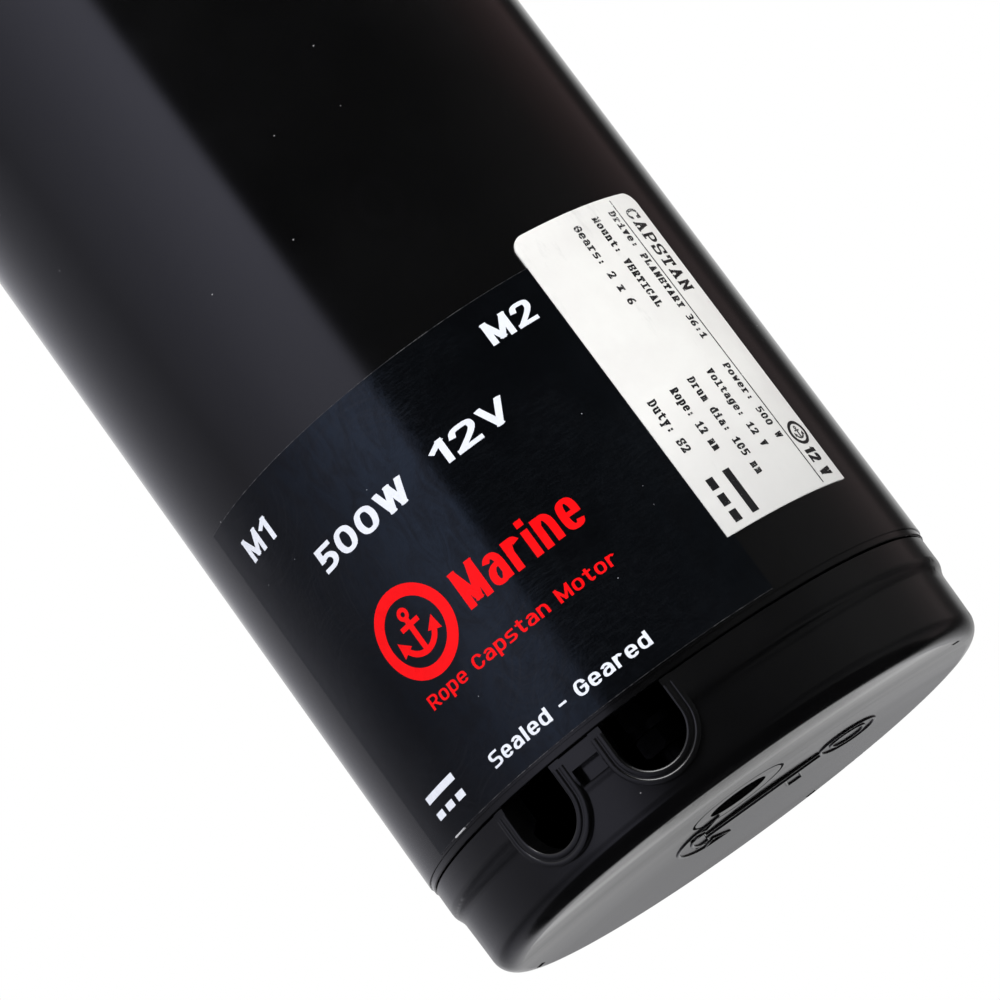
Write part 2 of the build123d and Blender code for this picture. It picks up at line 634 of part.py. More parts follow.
def brush_spring():
    """A short compression spring behind the brush."""
    wire = 0.45
    length = HOLDER_BACK - BRUSH_BACK - 2 * wire
    path = Helix(pitch=length / 4, height=length, radius=3.2)
    coil = sweep(Plane(path @ 0, z_dir=path % 0) * Circle(wire), path)
    return Pos(BRUSH_BACK + wire, 0, BRUSH_Z) * Rot(0, 90, 0) * coil


def brush_lead():
    drop_r = 46.2
    path = FilletPolyline((BRUSH_BACK, 0, BRUSH_Z), (drop_r, 0, BRUSH_Z), (drop_r, 0, BRUSH_PLATE_TOP),
                          radius=3)
    return sweep(Plane(path @ 0, z_dir=path % 0) * Circle(0.9), path)


def terminal_piece(name):
    plate_top = REAR_SHIELD_END + SHIELD_PLATE_T
    collar = 2.0
    head_bottom = plate_top + collar
    nut_top = REAR_SHIELD_END - collar
    if name == "studs":
        return disc(TERMINAL_STUD_R, head_bottom, CAP_FLOOR + 2.5) + hexagon(9, head_bottom + 3, head_bottom)
    if name == "insulators":
        body = ring(TERMINAL_HOLE_R, TERMINAL_STUD_R, plate_top, REAR_SHIELD_END)
        body += ring(TERMINAL_FLANGE_R, TERMINAL_STUD_R, head_bottom, plate_top)
        return body + ring(TERMINAL_FLANGE_R, TERMINAL_STUD_R, REAR_SHIELD_END, nut_top)
    washer_top = nut_top - TERMINAL_NUT_T
    second_top = washer_top - TERMINAL_WASHER_T
    lock_nut = nut(TERMINAL_FLATS, TERMINAL_STUD_R, nut_top, washer_top)
    cable_nut = nut(TERMINAL_FLATS, TERMINAL_STUD_R, second_top, second_top - TERMINAL_NUT_T)
    return lock_nut, cable_nut, ring(6, TERMINAL_STUD_R, washer_top, second_top)


def save_motor():
    save("motor_casing", motor_casing())
    save("drive_end_shield", drive_end_shield())
    save("motor_shaft_seal", lip_seal(MOTOR_SEAL_R, MOTOR_SHAFT_R, RING_END, RING_END - SEAL_WIDTH))
    magnets = [sector(BORE_R, MAGNET_R, CLOCK + 10 + 90 * i, CLOCK + 80 + 90 * i, CORE_TOP + 3, CORE_END - 3)
               for i in range(4)]
    save("field_magnets", magnets)
    save("armature_shaft", armature_shaft())
    save("armature_core", armature_core())
    save("armature_windings", armature_windings())
    save("commutator_bars", commutator_bars())
    save("commutator_hub", ring(13, MOTOR_SHAFT_R, COMMUTATOR_TOP, COMMUTATOR_END))
    front = ball_bearing(MOTOR_BEARING, FRONT_BEARING_Z)
    rear = ball_bearing(MOTOR_BEARING, REAR_BEARING_Z)
    for name, pair in zip(("outer_rings", "inner_rings", "balls", "cages"), zip(front, rear)):
        save(f"motor_bearing_{name}", *pair)
    save("rear_end_shield", rear_end_shield())
    plate = ring(BORE_R - 0.5, 26, BRUSH_PLATE_TOP, REAR_BOSS_TOP)
    save("brush_plate", plate - through_bolt_holes(THROUGH_BOLT_HOLE_R, BRUSH_PLATE_TOP + 1, REAR_BOSS_TOP - 1))
    save("brush_holders", at_brushes(brush_box()))
    save("carbon_brushes", at_brushes(carbon_brush()))
    save("brush_springs", at_brushes(brush_spring()))
    save("brush_leads", at_brushes(brush_lead()))
    head_top = REAR_SHIELD_END + THROUGH_BOLT_SINK
    save("through_bolts", [shank + head for shank, head in zip(
        through_bolt_holes(THROUGH_BOLT_R, RING_END - 3.5, head_top),
        through_bolt_holes(THROUGH_BOLT_HEAD_R, head_top, REAR_SHIELD_END + 0.4))])
    for name in ("studs", "insulators", "nuts"):
        pieces = solids(terminal_piece(name))
        save(f"terminal_{name}", [facing(a) * Pos(TERMINAL_R, 0, 0) * p for a in PORT_FACING for p in pieces])


# ---- end cap ----
def port_prism(angle, radius, start, end):
    """A U open towards the casing, running outwards from one radius to another."""
    centre = JOINT - PORT_CENTRE_DEPTH
    barrel = Pos((start + end) / 2, 0, centre) * Rot(0, 90, 0) * Cylinder(radius, end - start)
    return facing(angle) * (barrel + block((start, end), (-radius, radius), (centre, JOINT + 6)))


def end_cap():
    rim_top = JOINT + CASE_END_RISE - CAP_RIM_GAP
    rim_end = JOINT - CAP_RIM_DEPTH
    base = JOINT - CAP_DEPTH
    centre = base + CAP_DISH
    wall_top = rim_end - CAP_SHOULDER
    bend = ((CAP_RIM_R + CAP_WALL_R) / 2, (rim_end + wall_top) / 2)
    easing = (CAP_RIM_R - CAP_WALL_R) / 8
    shoulder = ThreePointArc((CAP_RIM_R, rim_end), (CAP_RIM_R - easing, rim_end - CAP_SHOULDER / 4), bend)
    hollow = ThreePointArc(bend, (CAP_WALL_R + easing, wall_top + CAP_SHOULDER / 4), (CAP_WALL_R, wall_top))
    foot_r = CAP_WALL_R - CAP_CORNER - CAP_DRAFT
    corner = ThreePointArc((CAP_WALL_R - CAP_DRAFT, base + CAP_CORNER),
                           (foot_r + CAP_CORNER * sin(pi / 4), base + CAP_CORNER * (1 - cos(pi / 4))),
                           (foot_r, base))
    dish = ThreePointArc((foot_r, base), (foot_r * 0.62, base + CAP_DISH * 0.62), (0, centre))
    post_top = REAR_SHIELD_END - SHIELD_POST
    spigot_r = BORE_R - 0.2
    inner_r = spigot_r - 2.5
    room_r = CAP_WALL_R - CAP_WALL
    seat = JOINT - CAP_SCREW_SEAT
    body = lathe(
        shoulder, hollow, corner, dish,
        [(0, centre), (0, post_top), (CAP_POST_R, post_top), (CAP_POST_R, CAP_FLOOR),
         (room_r - 2, CAP_FLOOR), (room_r, CAP_FLOOR + 2), (room_r, JOINT - 6.2), (inner_r, JOINT - 4.2),
         (inner_r, REAR_SHIELD_END), (spigot_r, REAR_SHIELD_END), (spigot_r, rim_top),
         (CAP_RIM_R - CAP_RIM_EDGE, rim_top), (CAP_RIM_R, rim_top - CAP_RIM_EDGE), (CAP_RIM_R, rim_end)],
        [(CAP_WALL_R, wall_top), (CAP_WALL_R - CAP_DRAFT, base + CAP_CORNER)],
    )
    skin = ring(CAP_RIM_R, CAP_WALL_R - 2, rim_top, base + 2)
    inside_r, outside_r = 40, 60
    for angle in PORT_FACING:
        body += skin & port_prism(angle, PORT_COLLAR_R, inside_r, outside_r)
    for angle in PORT_FACING:
        body -= port_prism(angle, PORT_R, inside_r, outside_r)
    window_top, window_end = (JOINT - depth for depth in WINDOW_DEPTHS)
    body -= sector(outside_r, CAP_WALL_R - 1.6, *WINDOW_FACING, window_top, window_end)
    body -= disc(CAP_SCREW_RECESS_R, seat, base - 1)
    body -= disc(CAP_SCREW_HOLE_R, post_top + 1, seat - 0.5)
    body -= ring(*CAP_GROOVE_R, centre + CAP_GROOVE_DEPTH, base - 1)
    mark = block((48.2, 49.6), (-1.1, 1.1), (base - 1, base + 0.7))
    return body - around(mark, CAP_MARK_COUNT, -14)


def end_cap_screw():
    seat = JOINT - CAP_SCREW_SEAT
    head = disc(CAP_SCREW_HEAD_R, seat, seat - CAP_SCREW_HEAD)
    head = fillet(head.edges().group_by(Axis.Z)[0], 1.2)
    socket = hexagon(CAP_SCREW_SOCKET, seat - 1.6, seat - 5)
    return head - socket + disc(CAP_SCREW_R, REAR_SHIELD_END, seat)


def save_cap_and_labels():
    save("end_cap", end_cap())
    save("end_cap_screw", end_cap_screw())
    low, high = (JOINT + height for height in MOTOR_LABEL_HEIGHTS)
    label = sector(CASE_R + LABEL_T, CASE_R, *MOTOR_LABEL_FACING, high, low)
    save("motor_label", label)
    low, high = (JOINT + height for height in RATING_LABEL_HEIGHTS)
    plate = sector(CASE_R + 2 * LABEL_T, CASE_R, *RATING_LABEL_FACING, high, low)
    corner_edges = plate.edges().filter_by(lambda edge: edge.length < 3 * LABEL_T)
    plate = fillet(corner_edges.sort_by(Axis.Z)[-2:], RATING_LABEL_CORNER)
    save("rating_label", plate - label)


os.makedirs("parts", exist_ok=True)
save_top()
save_gearbox()
save_motor()
save_cap_and_labels()
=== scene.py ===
import json
import math

import bmesh
import bpy
from mathutils import Matrix, Vector
from mathutils.geometry import delaunay_2d_cdt


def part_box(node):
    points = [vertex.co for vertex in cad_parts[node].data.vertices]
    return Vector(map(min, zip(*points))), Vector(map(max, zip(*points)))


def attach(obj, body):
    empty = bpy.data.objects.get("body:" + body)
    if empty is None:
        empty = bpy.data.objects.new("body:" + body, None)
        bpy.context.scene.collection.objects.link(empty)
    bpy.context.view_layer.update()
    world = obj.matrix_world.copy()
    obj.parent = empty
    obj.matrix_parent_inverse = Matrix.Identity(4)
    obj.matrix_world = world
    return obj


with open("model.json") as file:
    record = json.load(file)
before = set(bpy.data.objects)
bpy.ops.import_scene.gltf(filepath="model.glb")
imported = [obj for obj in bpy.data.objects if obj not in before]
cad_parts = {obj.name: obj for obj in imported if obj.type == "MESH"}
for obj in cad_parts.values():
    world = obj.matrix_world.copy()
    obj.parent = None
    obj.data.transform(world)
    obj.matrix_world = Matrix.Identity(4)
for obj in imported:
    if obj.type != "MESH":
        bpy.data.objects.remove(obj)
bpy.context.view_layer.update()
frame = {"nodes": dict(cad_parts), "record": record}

MM = 0.001
scene = bpy.context.scene
nodes = frame["nodes"]

CASING_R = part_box("motor_casing")[1].x
CAP_LOW_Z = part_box("end_cap")[0].z
CAP_DEPTH = 19.5 * MM
JOINT_Z = CAP_LOW_Z + CAP_DEPTH     # the level that heights on the casing and the cap are measured from


# ---------------------------------------------------------------- materials

# Painted reflection: between these two places across the black label, its specular tint grows from dim grey to bright
# blue, so its sheen is painted brighter towards +X.
PAINTED_SHEEN_GROWS = (-42.0 * MM, -18.0 * MM)                          # across the black label, towards +X
# Painted shade: the rating label is painted darker towards its bottom, fading out upwards between these heights.
PAINTED_SHADE_FADES = (JOINT_Z + 12.0 * MM, JOINT_Z + 42.0 * MM)        # up the rating label
WEAR_GROWS = (JOINT_Z + 71.0 * MM, JOINT_Z + 76.0 * MM)         # up its print
BARE_LABEL = (0.8, 0.8, 0.78)


class Finish:
    """A material with its node tree; patterns are laid out in object coordinates, in metres."""

    def __init__(self, name, color=(0.5, 0.5, 0.5), roughness=0.4, metallic=0.0, **sockets):
        self.material = bpy.data.materials.new(name)
        self.material.use_nodes = True
        self.material.diffuse_color = (*color, 1.0)
        self.tree = self.material.node_tree
        self.shader = self.tree.nodes["Principled BSDF"]
        self.place = self.add("ShaderNodeTexCoord").outputs["Object"]
        self.set("Base Color", (*color, 1.0))
        self.set("Roughness", roughness)
        self.set("Metallic", metallic)
        for socket, value in sockets.items():
            self.set(socket.replace("_", " "), value)

    def set(self, socket, value):
        if isinstance(value, bpy.types.NodeSocket):
            self.tree.links.new(value, self.shader.inputs[socket])
        else:
            self.shader.inputs[socket].default_value = value

    def add(self, kind, inputs=None, **settings):
        node = self.tree.nodes.new(kind)
        for key, value in settings.items():
            setattr(node, key, value)
        for socket, value in (inputs or {}).items():
            if isinstance(value, bpy.types.NodeSocket):
                self.tree.links.new(value, node.inputs[socket])
            else:
                node.inputs[socket].default_value = value
        return node

    def math(self, operation, a, b=0.0):
        return self.add("ShaderNodeMath", {0: a, 1: b}, operation=operation).outputs[0]

    def stretched(self, scale):
        """The place, with each axis scaled on its own."""
        return self.add("ShaderNodeVectorMath", {0: self.place, 1: scale}, operation="MULTIPLY").outputs[0]

    def turned(self, grain):
        """The place as (distance from the turning axis, 0, height), times grain, so a pattern runs round it."""
        xyz = self.add("ShaderNodeSeparateXYZ", {0: self.place}).outputs
        flat = self.add("ShaderNodeCombineXYZ", {0: xyz[0], 1: xyz[1]}).outputs[0]
        reach = self.add("ShaderNodeVectorMath", {0: flat}, operation="LENGTH").outputs["Value"]
        return self.add("ShaderNodeCombineXYZ", {0: self.math("MULTIPLY", reach, grain),
                                                 2: self.math("MULTIPLY", xyz[2], grain)}).outputs[0]

    def noise(self, scale, detail=4.0, gain=0.55, at=None, distortion=0.0):
        return self.add("ShaderNodeTexNoise", {"Vector": at or self.place, "Scale": scale, "Detail": detail,
                                               "Roughness": gain, "Distortion": distortion}).outputs["Fac"]

    def cells(self, scale, at=None):
        return self.add("ShaderNodeTexVoronoi", {"Vector": at or self.place, "Scale": scale}).outputs["Distance"]

    def spread(self, value, low, high, start=0.35, end=0.65):
        return self.add("ShaderNodeMapRange", {"Value": value, "From Min": start, "From Max": end,
                                               "To Min": low, "To Max": high}).outputs["Result"]

    def mix(self, factor, a, b):
        node = self.add("ShaderNodeMix", data_type="RGBA")
        for index, value in ((0, factor), (6, a), (7, b)):
            if isinstance(value, bpy.types.NodeSocket):
                self.tree.links.new(value, node.inputs[index])
            else:
                node.inputs[index].default_value = value if index == 0 else (*value, 1.0)
        return node.outputs[2]

    def bump(self, height, distance, normal=None):
        inputs = {"Height": height, "Distance": distance, "Strength": 1.0}
        if normal:
            inputs["Normal"] = normal
        return self.add("ShaderNodeBump", inputs).outputs["Normal"]

    def specks(self, scale, reach):
        """1 in sparse small spots about reach cells across, else 0."""
        return self.math("LESS_THAN", self.cells(scale), reach)

    def swirls(self, scale, lines):
        """Fine overlapping arcs in patches, from 0 to 1, as a cloth leaves on a gloss surface."""
        arcs = []
        for cells in (self.cells(scale), self.cells(scale * 1.37, self.stretched((1.1, 0.9, 1.0)))):
            node = self.add("ShaderNodeTexNoise", noise_dimensions="1D")
            node.inputs["Scale"].default_value = 1.0
            node.inputs["Detail"].default_value = 3.0
            self.tree.links.new(self.math("MULTIPLY", cells, lines), node.inputs["W"])
            line = self.spread(node.outputs["Fac"], 0.0, 1.0, 0.48, 0.72)
            arcs.append(self.math("MULTIPLY", line, self.spread(cells, 0.0, 1.0, 0.30, 0.50)))
        patch = self.spread(self.noise(scale * 1.4, 3.0), 0.0, 1.0, 0.40, 0.62)
        return self.math("MULTIPLY", self.math("MAXIMUM", *arcs), patch)


def black_paint():
    f = Finish("black_paint", roughness=0.12, IOR=1.5)
    haze = f.swirls(22.0, 60.0)
    cloud = f.noise(21.0, 5.0, 0.6)
    base = f.mix(f.spread(cloud, 0.0, 1.0), (0.0014, 0.0014, 0.0015), (0.0023, 0.0023, 0.0024))
    base = f.mix(f.math("MULTIPLY", haze, 0.10), base, (0.012, 0.012, 0.014))
    base = f.mix(f.specks(150.0, 0.020), base, (0.30, 0.30, 0.30))
    f.set("Base Color", base)
    f.set("Roughness", f.spread(cloud, 0.105, 0.15))
    peel = f.bump(f.noise(330.0, 2.0), 2.0e-6)
    f.set("Normal", f.bump(haze, 2.0e-7, peel))
    return f.material


def black_casting():
    f = Finish("black_casting", roughness=0.3, IOR=1.5)
    cloud = f.noise(28.0, 5.0, 0.6)
    base = f.mix(f.spread(cloud, 0.0, 1.0), (0.0030, 0.0030, 0.0032), (0.0060, 0.0060, 0.0063))
    f.set("Base Color", f.mix(f.specks(170.0, 0.020), base, (0.22, 0.22, 0.22)))
    f.set("Roughness", f.spread(cloud, 0.24, 0.36))
    coarse = f.bump(f.noise(520.0, 3.0), 1.6e-5)
    f.set("Normal", f.bump(f.noise(1700.0, 2.0), 4.0e-6, coarse))
    return f.material


def cap_plastic():
    f = Finish("cap_plastic", roughness=0.2, IOR=1.5)
    cloud = f.noise(24.0, 5.0, 0.6, f.stretched((0.16, 2.4, 1.0)))
    base = f.mix(f.spread(cloud, 0.0, 1.0), (0.0018, 0.0018, 0.0020), (0.0032, 0.0032, 0.0034))
    f.set("Base Color", f.mix(f.specks(160.0, 0.020), base, (0.25, 0.25, 0.25)))
    f.set("Roughness", f.spread(cloud, 0.12, 0.24))
    grain = f.bump(f.noise(1500.0, 3.0), 2.0e-6)
    f.set("Normal", f.bump(f.noise(95.0, 2.0), 1.2e-5, grain))
    return f.material


def label_black():
    f = Finish("label_black", roughness=0.1, IOR=1.5)
    haze = f.swirls(30.0, 75.0)
    cloud = f.noise(42.0, 4.0)
    wiped = f.noise(2400.0, 3.0, 0.6, f.stretched((0.16, 0.16, 1.0)))
    wiped = f.math("MULTIPLY", f.spread(wiped, 0.0, 1.0, 0.42, 0.60), f.spread(cloud, 0.35, 1.0, 0.42, 0.60))
    base = f.mix(f.spread(cloud, 0.0, 1.0), (0.0014, 0.0016, 0.0020), (0.0022, 0.0025, 0.0032))
    base = f.mix(f.math("MULTIPLY", haze, 0.04), base, (0.012, 0.015, 0.021))
    base = f.mix(f.math("MULTIPLY", wiped, 0.05), base, (0.016, 0.018, 0.021))
    f.set("Base Color", f.mix(f.specks(190.0, 0.022), base, (0.25, 0.26, 0.28)))
    # Painted reflection: the specular tint is a painted sheen, brighter and bluer towards +X, with brownish streaks,
    # greyed in patches by the wipe haze.
    across = f.add("ShaderNodeSeparateXYZ", {0: f.place}).outputs[0]
    painted_sheen = f.mix(f.spread(across, 0.0, 1.0, *PAINTED_SHEEN_GROWS), (0.25, 0.29, 0.35), (0.60, 0.78, 1.0))
    painted_sheen_streaks = f.noise(230.0, 5.0, 0.7, f.stretched((1.0, 1.0, 0.45)), 1.5)
    painted_sheen = f.mix(f.spread(painted_sheen_streaks, 0.0, 0.55, 0.42, 0.62), painted_sheen, (0.36, 0.355, 0.36))
    f.set("Specular Tint", f.mix(f.math("MULTIPLY", haze, 0.45), painted_sheen, (0.80, 0.82, 0.84)))
    f.set("Roughness", f.math("ADD", f.spread(haze, 0.085, 0.12, 0.0, 1.0), f.spread(wiped, 0.0, 0.12, 0.0, 1.0)))
    waves = f.bump(f.noise(320.0, 4.0, 0.6), 2.6e-5)
    f.set("Normal", f.bump(haze, 5.0e-7, waves))
    return f.material


def label_silver():
    f = Finish("label_silver", roughness=0.38, IOR=1.45)
    cloud = f.noise(60.0, 5.0, 0.62)
    base = f.mix(f.spread(cloud, 0.0, 1.0), (0.80, 0.79, 0.76), (0.85, 0.845, 0.81))
    smudge = f.spread(f.noise(130.0, 6.0, 0.7, f.stretched((1.0, 1.0, 0.35))), 0.0, 0.35, 0.60, 0.72)
    base = f.mix(smudge, base, (0.52, 0.52, 0.50))
    height = f.add("ShaderNodeSeparateXYZ", {0: f.place}).outputs[2]
    # Painted shade: the label's colour is darkened towards the bottom.
    painted_shade = f.spread(height, 0.55, 0.0, *PAINTED_SHADE_FADES)
    f.set("Base Color", f.mix(painted_shade, base, (0.50, 0.50, 0.49)))
    f.set("Roughness", f.spread(cloud, 0.32, 0.45))
    f.set("Normal", f.bump(f.noise(900.0, 2.0), 1.5e-6))
    return f.material


def print_ink(name, color, gloss=0.5, worn=0.0):
    """Printed ink. worn is how much of what is under it shows through, in small spots, more near the top."""
    f = Finish(name, color, 0.3, IOR=1.45, Specular_IOR_Level=gloss)
    tone = f.spread(f.noise(420.0, 4.0, 0.6), 0.0, 0.16)
    base = f.mix(tone, color, tuple(c * 0.62 for c in color))
    if worn:
        height = f.add("ShaderNodeSeparateXYZ", {0: f.place}).outputs[2]
        faded = f.spread(height, 0.0, 0.085, *WEAR_GROWS)
        spots = f.math("ADD", f.noise(2600.0, 3.0, 0.7), faded)
        spots = f.spread(spots, 0.0, 1.0, 0.66 - worn, 0.70 - worn)
        base = f.mix(spots, base, BARE_LABEL)
    f.set("Base Color", base)
    f.set("Roughness", f.spread(f.noise(240.0, 3.0), 0.22, 0.36))
    f.set("Normal", f.bump(f.noise(1500.0, 2.0), 1.0e-6))
    return f.material


def edge_dust_and_highlight():
    """The dust that a label's edge holds, with a painted edge highlight in it: light grey, broken by the black under
    it.
    """
    f = Finish("edge_dust_and_highlight", roughness=0.5)
    broken = f.spread(f.noise(900.0, 6.0, 0.75), 0.0, 1.0, 0.48, 0.62)
    fading = f.spread(f.noise(45.0, 2.0), 0.1, 0.8)
    # Dust and a painted edge highlight: a broken light grey line along the label's edges.
    f.set("Base Color", f.mix(f.math("MULTIPLY", broken, fading), (0.012, 0.012, 0.014), (0.17, 0.17, 0.175)))
    f.set("Roughness", f.spread(broken, 0.25, 0.7, 0.0, 1.0))
    return f.material


def turned_metal(name, dark, light, rough, grain, depth):
    """Metal cut on a lathe: fine lines that run round the main axis, over soft clouding."""
    f = Finish(name, light, rough[0], 1.0)
    lines = f.noise(1.0, 6.0, 0.75, f.turned(grain))
    cloud = f.noise(60.0, 4.0, 0.6)
    f.set("Base Color", f.mix(f.spread(cloud, 0.0, 1.0), dark, light))
    f.set("Roughness", f.math("ADD", f.spread(lines, rough[0], rough[1]), f.spread(cloud, 0.0, 0.05)))
    f.set("Normal", f.bump(lines, depth))
    return f.material


def machined_metal(name, dark, light, rough, grain, depth, stain=None, stretch=(1.0, 1.0, 1.0)):
    """Rolled, cut or pressed metal: fine grain, soft clouding and, if given, a stain in patches."""
    f = Finish(name, light, rough[0], 1.0)
    fine = f.noise(grain, 5.0, 0.7, f.stretched(stretch))
    cloud = f.noise(grain / 9.0, 4.0, 0.6)
    base = f.mix(f.spread(cloud, 0.0, 1.0), dark, light)
    if stain:
        base = f.mix(f.spread(f.noise(grain / 5.0, 6.0, 0.7), 0.0, 0.6, 0.55, 0.7), base, stain)
    f.set("Base Color", base)
    f.set("Roughness", f.math("ADD", f.spread(fine, rough[0], rough[1]), f.spread(cloud, 0.0, 0.06)))
    f.set("Normal", f.bump(fine, depth))
    return f.material


def matt_solid(name, dark, light, rough, grain, depth):
    """Rubber, moulded resin, carbon or ferrite."""
    f = Finish(name, light, rough[0])
    cloud = f.noise(grain / 12.0, 5.0, 0.65)
    fine = f.noise(grain, 4.0, 0.65)
    base = f.mix(f.spread(cloud, 0.0, 1.0), dark, light)
    f.set("Base Color", f.mix(f.spread(fine, 0.0, 0.35), base, tuple(min(1.0, c * 1.7) for c in light)))
    f.set("Roughness", f.spread(fine, rough[0], rough[1]))
    f.set("Normal", f.bump(fine, depth))
    return f.material


FINISHES = {
    "black_paint": black_paint(),
    "black_casting": black_casting(),
    "cap_plastic": cap_plastic(),
    "label_black": label_black(),
    "label_silver": label_silver(),
    "steel": machined_metal("steel", (0.46, 0.46, 0.47), (0.60, 0.60, 0.61), (0.20, 0.34), 900.0, 3.0e-6,
                            stretch=(1.0, 1.0, 0.2)),
    "gear_steel": machined_metal("gear_steel", (0.26, 0.26, 0.27), (0.38, 0.38, 0.39), (0.26, 0.42), 700.0,
                                 5.0e-6, (0.20, 0.17, 0.13)),
    "polished_steel": turned_metal("polished_steel", (0.70, 0.70, 0.72), (0.80, 0.80, 0.82), (0.10, 0.17),
                                   1500.0, 1.2e-6),
    "aluminium": machined_metal("aluminium", (0.52, 0.53, 0.54), (0.64, 0.65, 0.66), (0.30, 0.46), 800.0, 9.0e-6),
    "anodised": turned_metal("anodised", (0.56, 0.57, 0.59), (0.66, 0.67, 0.69), (0.26, 0.36), 1100.0, 2.5e-6),
    "copper": machined_metal("copper", (0.60, 0.25, 0.12), (0.78, 0.39, 0.20), (0.22, 0.38), 1100.0, 5.0e-6,
                             (0.34, 0.14, 0.08)),
    "brass": machined_metal("brass", (0.62, 0.47, 0.20), (0.80, 0.64, 0.32), (0.20, 0.34), 900.0, 4.0e-6),
    # Painted shade: the terminals are kept nearly black so that the cable ports look dark inside.
    "black_oxide": machined_metal("black_oxide", (0.016, 0.016, 0.017), (0.030, 0.030, 0.032), (0.38, 0.55),
                                  900.0, 4.0e-6),
    "rubber": matt_solid("rubber", (0.010, 0.010, 0.010), (0.022, 0.022, 0.022), (0.55, 0.75), 1400.0, 1.5e-5),
    "resin": matt_solid("resin", (0.20, 0.11, 0.045), (0.33, 0.19, 0.08), (0.42, 0.62), 1100.0, 1.0e-5),
    "carbon": matt_solid("carbon", (0.028, 0.028, 0.030), (0.050, 0.050, 0.054), (0.5, 0.7), 1600.0, 1.0e-5),
    "ferrite": matt_solid("ferrite", (0.055, 0.055, 0.058), (0.085, 0.085, 0.090), (0.55, 0.75), 900.0, 1.4e-5),
}


def dress_frame():
    """Gives every CAD node the finish of its slot in the record."""
    for part in frame["record"]["subparts"]:
        piece = nodes[part["node"]]
        if not piece.material_slots:
            piece.data.materials.append(None)
        for place in piece.material_slots:
            place.link = "OBJECT"
            place.material = FINISHES[part["material_slot"]]


# ---------------------------------------------------------------- print on the casing

CUT_EVERY = 1.0 * MM
INK_SUNK = 0.03 * MM
INK_RISE = 0.035 * MM
NO_AREA = 1.0e-6
CLOSE_ENOUGH = 1.0e-4
CUT_SNAP = 1.0e-7
SHARP_ANGLE = 30.0
LABEL_R = CASING_R + 0.2 * MM
PLATE_R = CASING_R + 0.4 * MM
# On the unrolled casing, in mm: left, right, low, high.
MOTOR_LABEL = (-59.0, 26.6, 2.4, 73.2)
LIFTED_END = (-51.0, -47.2, 2.12, 2.38)
LIFTED_RISE = 0.3 * MM
DUST_AND_HIGHLIGHT_WIDTH = 0.13
DUST_AND_HIGHLIGHT_RISE = 0.16 * MM
# A monoline letter face on a 12 x 12 grid: base line at y 4, x-height at c, capitals to g, descenders to 0.
# A point is two base-36 digits, x then y. A stroke that starts with ~ is smooth, with o smooth and closed.
# What follows | are slab serifs.
GLYPHS = {
    "A": "146g b46g 3999|0434 94c4", "C": "~bd9g3g1c183494b7|bgbd", "D": "141g ~1g7gbdb77414|0g1g 0414",
    "E": "bg1g14b4 1a8a|bgbd b4b7", "G": "~bd9g3g1c183494b7 b7ba7a", "I": "6g64|3g9g 3494", "L": "1g14b4|0g3g b4b7",
    "M": "141g b4bg 1g65 bg65|0414 b4c4", "N": "141g b4bg 1gb4|0424 agcg",
    "P": "141g ~1g8gbebb8919|0414 1444", "R": "141g ~1g8gbebb8919 69b4|0444 94c4",
    "S": "~bg4g1f1b4a8ab9b58414|bgbd 1417", "T": "0gcg 6g64|0g0d cgcd 3494",
    "V": "1g64 bg64|0g3g 9gcg", "W": "0g34 6g34 6g94 cg94|0g1g bgcg", "Y": "1g6a bg6a 6a64|0g3g 9gcg 3494",
    "0": "o1c183494b8bc9g3g", "1": "2d6g 6g64|3494", "2": "~1d2g9gbfbb14 14b4|b4b6",
    "3": "~1g8gbfbb8a5a ~5a8ab9b58414", "5": "bg2g 2g2a ~2a5b8bb9b68414", "6": "~ag6g1b17 o163494b6b89a3a18",
    "a": "~2b4c8cbab4 ~b94917153484b6|b4c4", "d": "o163494b6ba9c3c1a bgb4|8gbg b4c4",
    "e": "18b8 ~b8ba9c3c1a163494a5", "g": "o163494b6ba9c3c1a ~bcb2903011|bccc", "i": "6b64 6f6g|3b6b 3494",
    "l": "6g64|3g6g 3494", "m": "141c ~1a3c5c6a64 ~6a8cacbab4|0c1c 0424 b4c4", "n": "141c ~1a4c8cbab4|0c1c 0434 94c4",
    "o": "o163494b6ba9c3c1a", "p": "101c o163494b6ba9c3c1a|0c1c 0040", "r": "343c ~396c9cbb|1c3c 1464",
    "s": "~bc4c1b194888b7b58414", "t": "~5g5674a4b5 1cac", "u": "~1c163494b6 bcb4|0c1c 9cbc b4c4",
    "v": "1c64 bc64|0c3c 9ccc", "w": "0c34 6a34 6a94 cc94|0c1c bccc", "x": "1cb4 14bc|0434 94c4 0c3c 9ccc",
    "y": "1c64 bc40|0c3c 9ccc 2060", ":": "6a6b 6566", "-": "29a9",
}
GRID_BASE, GRID_X, GRID_CAPITAL = 4, 12, 16
X_HEIGHT_RISE = 1.2          # small letters stand this much higher than the grid's x-height
BELOW_BASE = "gpy"
GLYPH_WIDTHS = {"1": 7.5, "i": 4, "l": 4, "t": 9, "r": 9, "-": 8, " ": 6, "M": 14.5, "W": 17, "0": 12.5}
CAPITAL_WIDTH, SMALL_WIDTH = 12.0, 10.8
LETTER_GAP = 2.2
MONO_WIDTH, MONO_GAP = 12.0, 2.6
SMOOTHING = 2
NEAR, FAR = 0.75, 0.25       # where a corner is cut, as shares of the way along its two sides
SMOOTH_END = 0.3             # a smooth stroke runs on by this share of its width
DESCENT = 0.5                # a letter may hang below the base line by this share of the capitals' height
SANS_THIN, SLAB_THIN = 0.62, 0.75
CROWDED, CROWDED_STROKE = "mwMW", 0.72


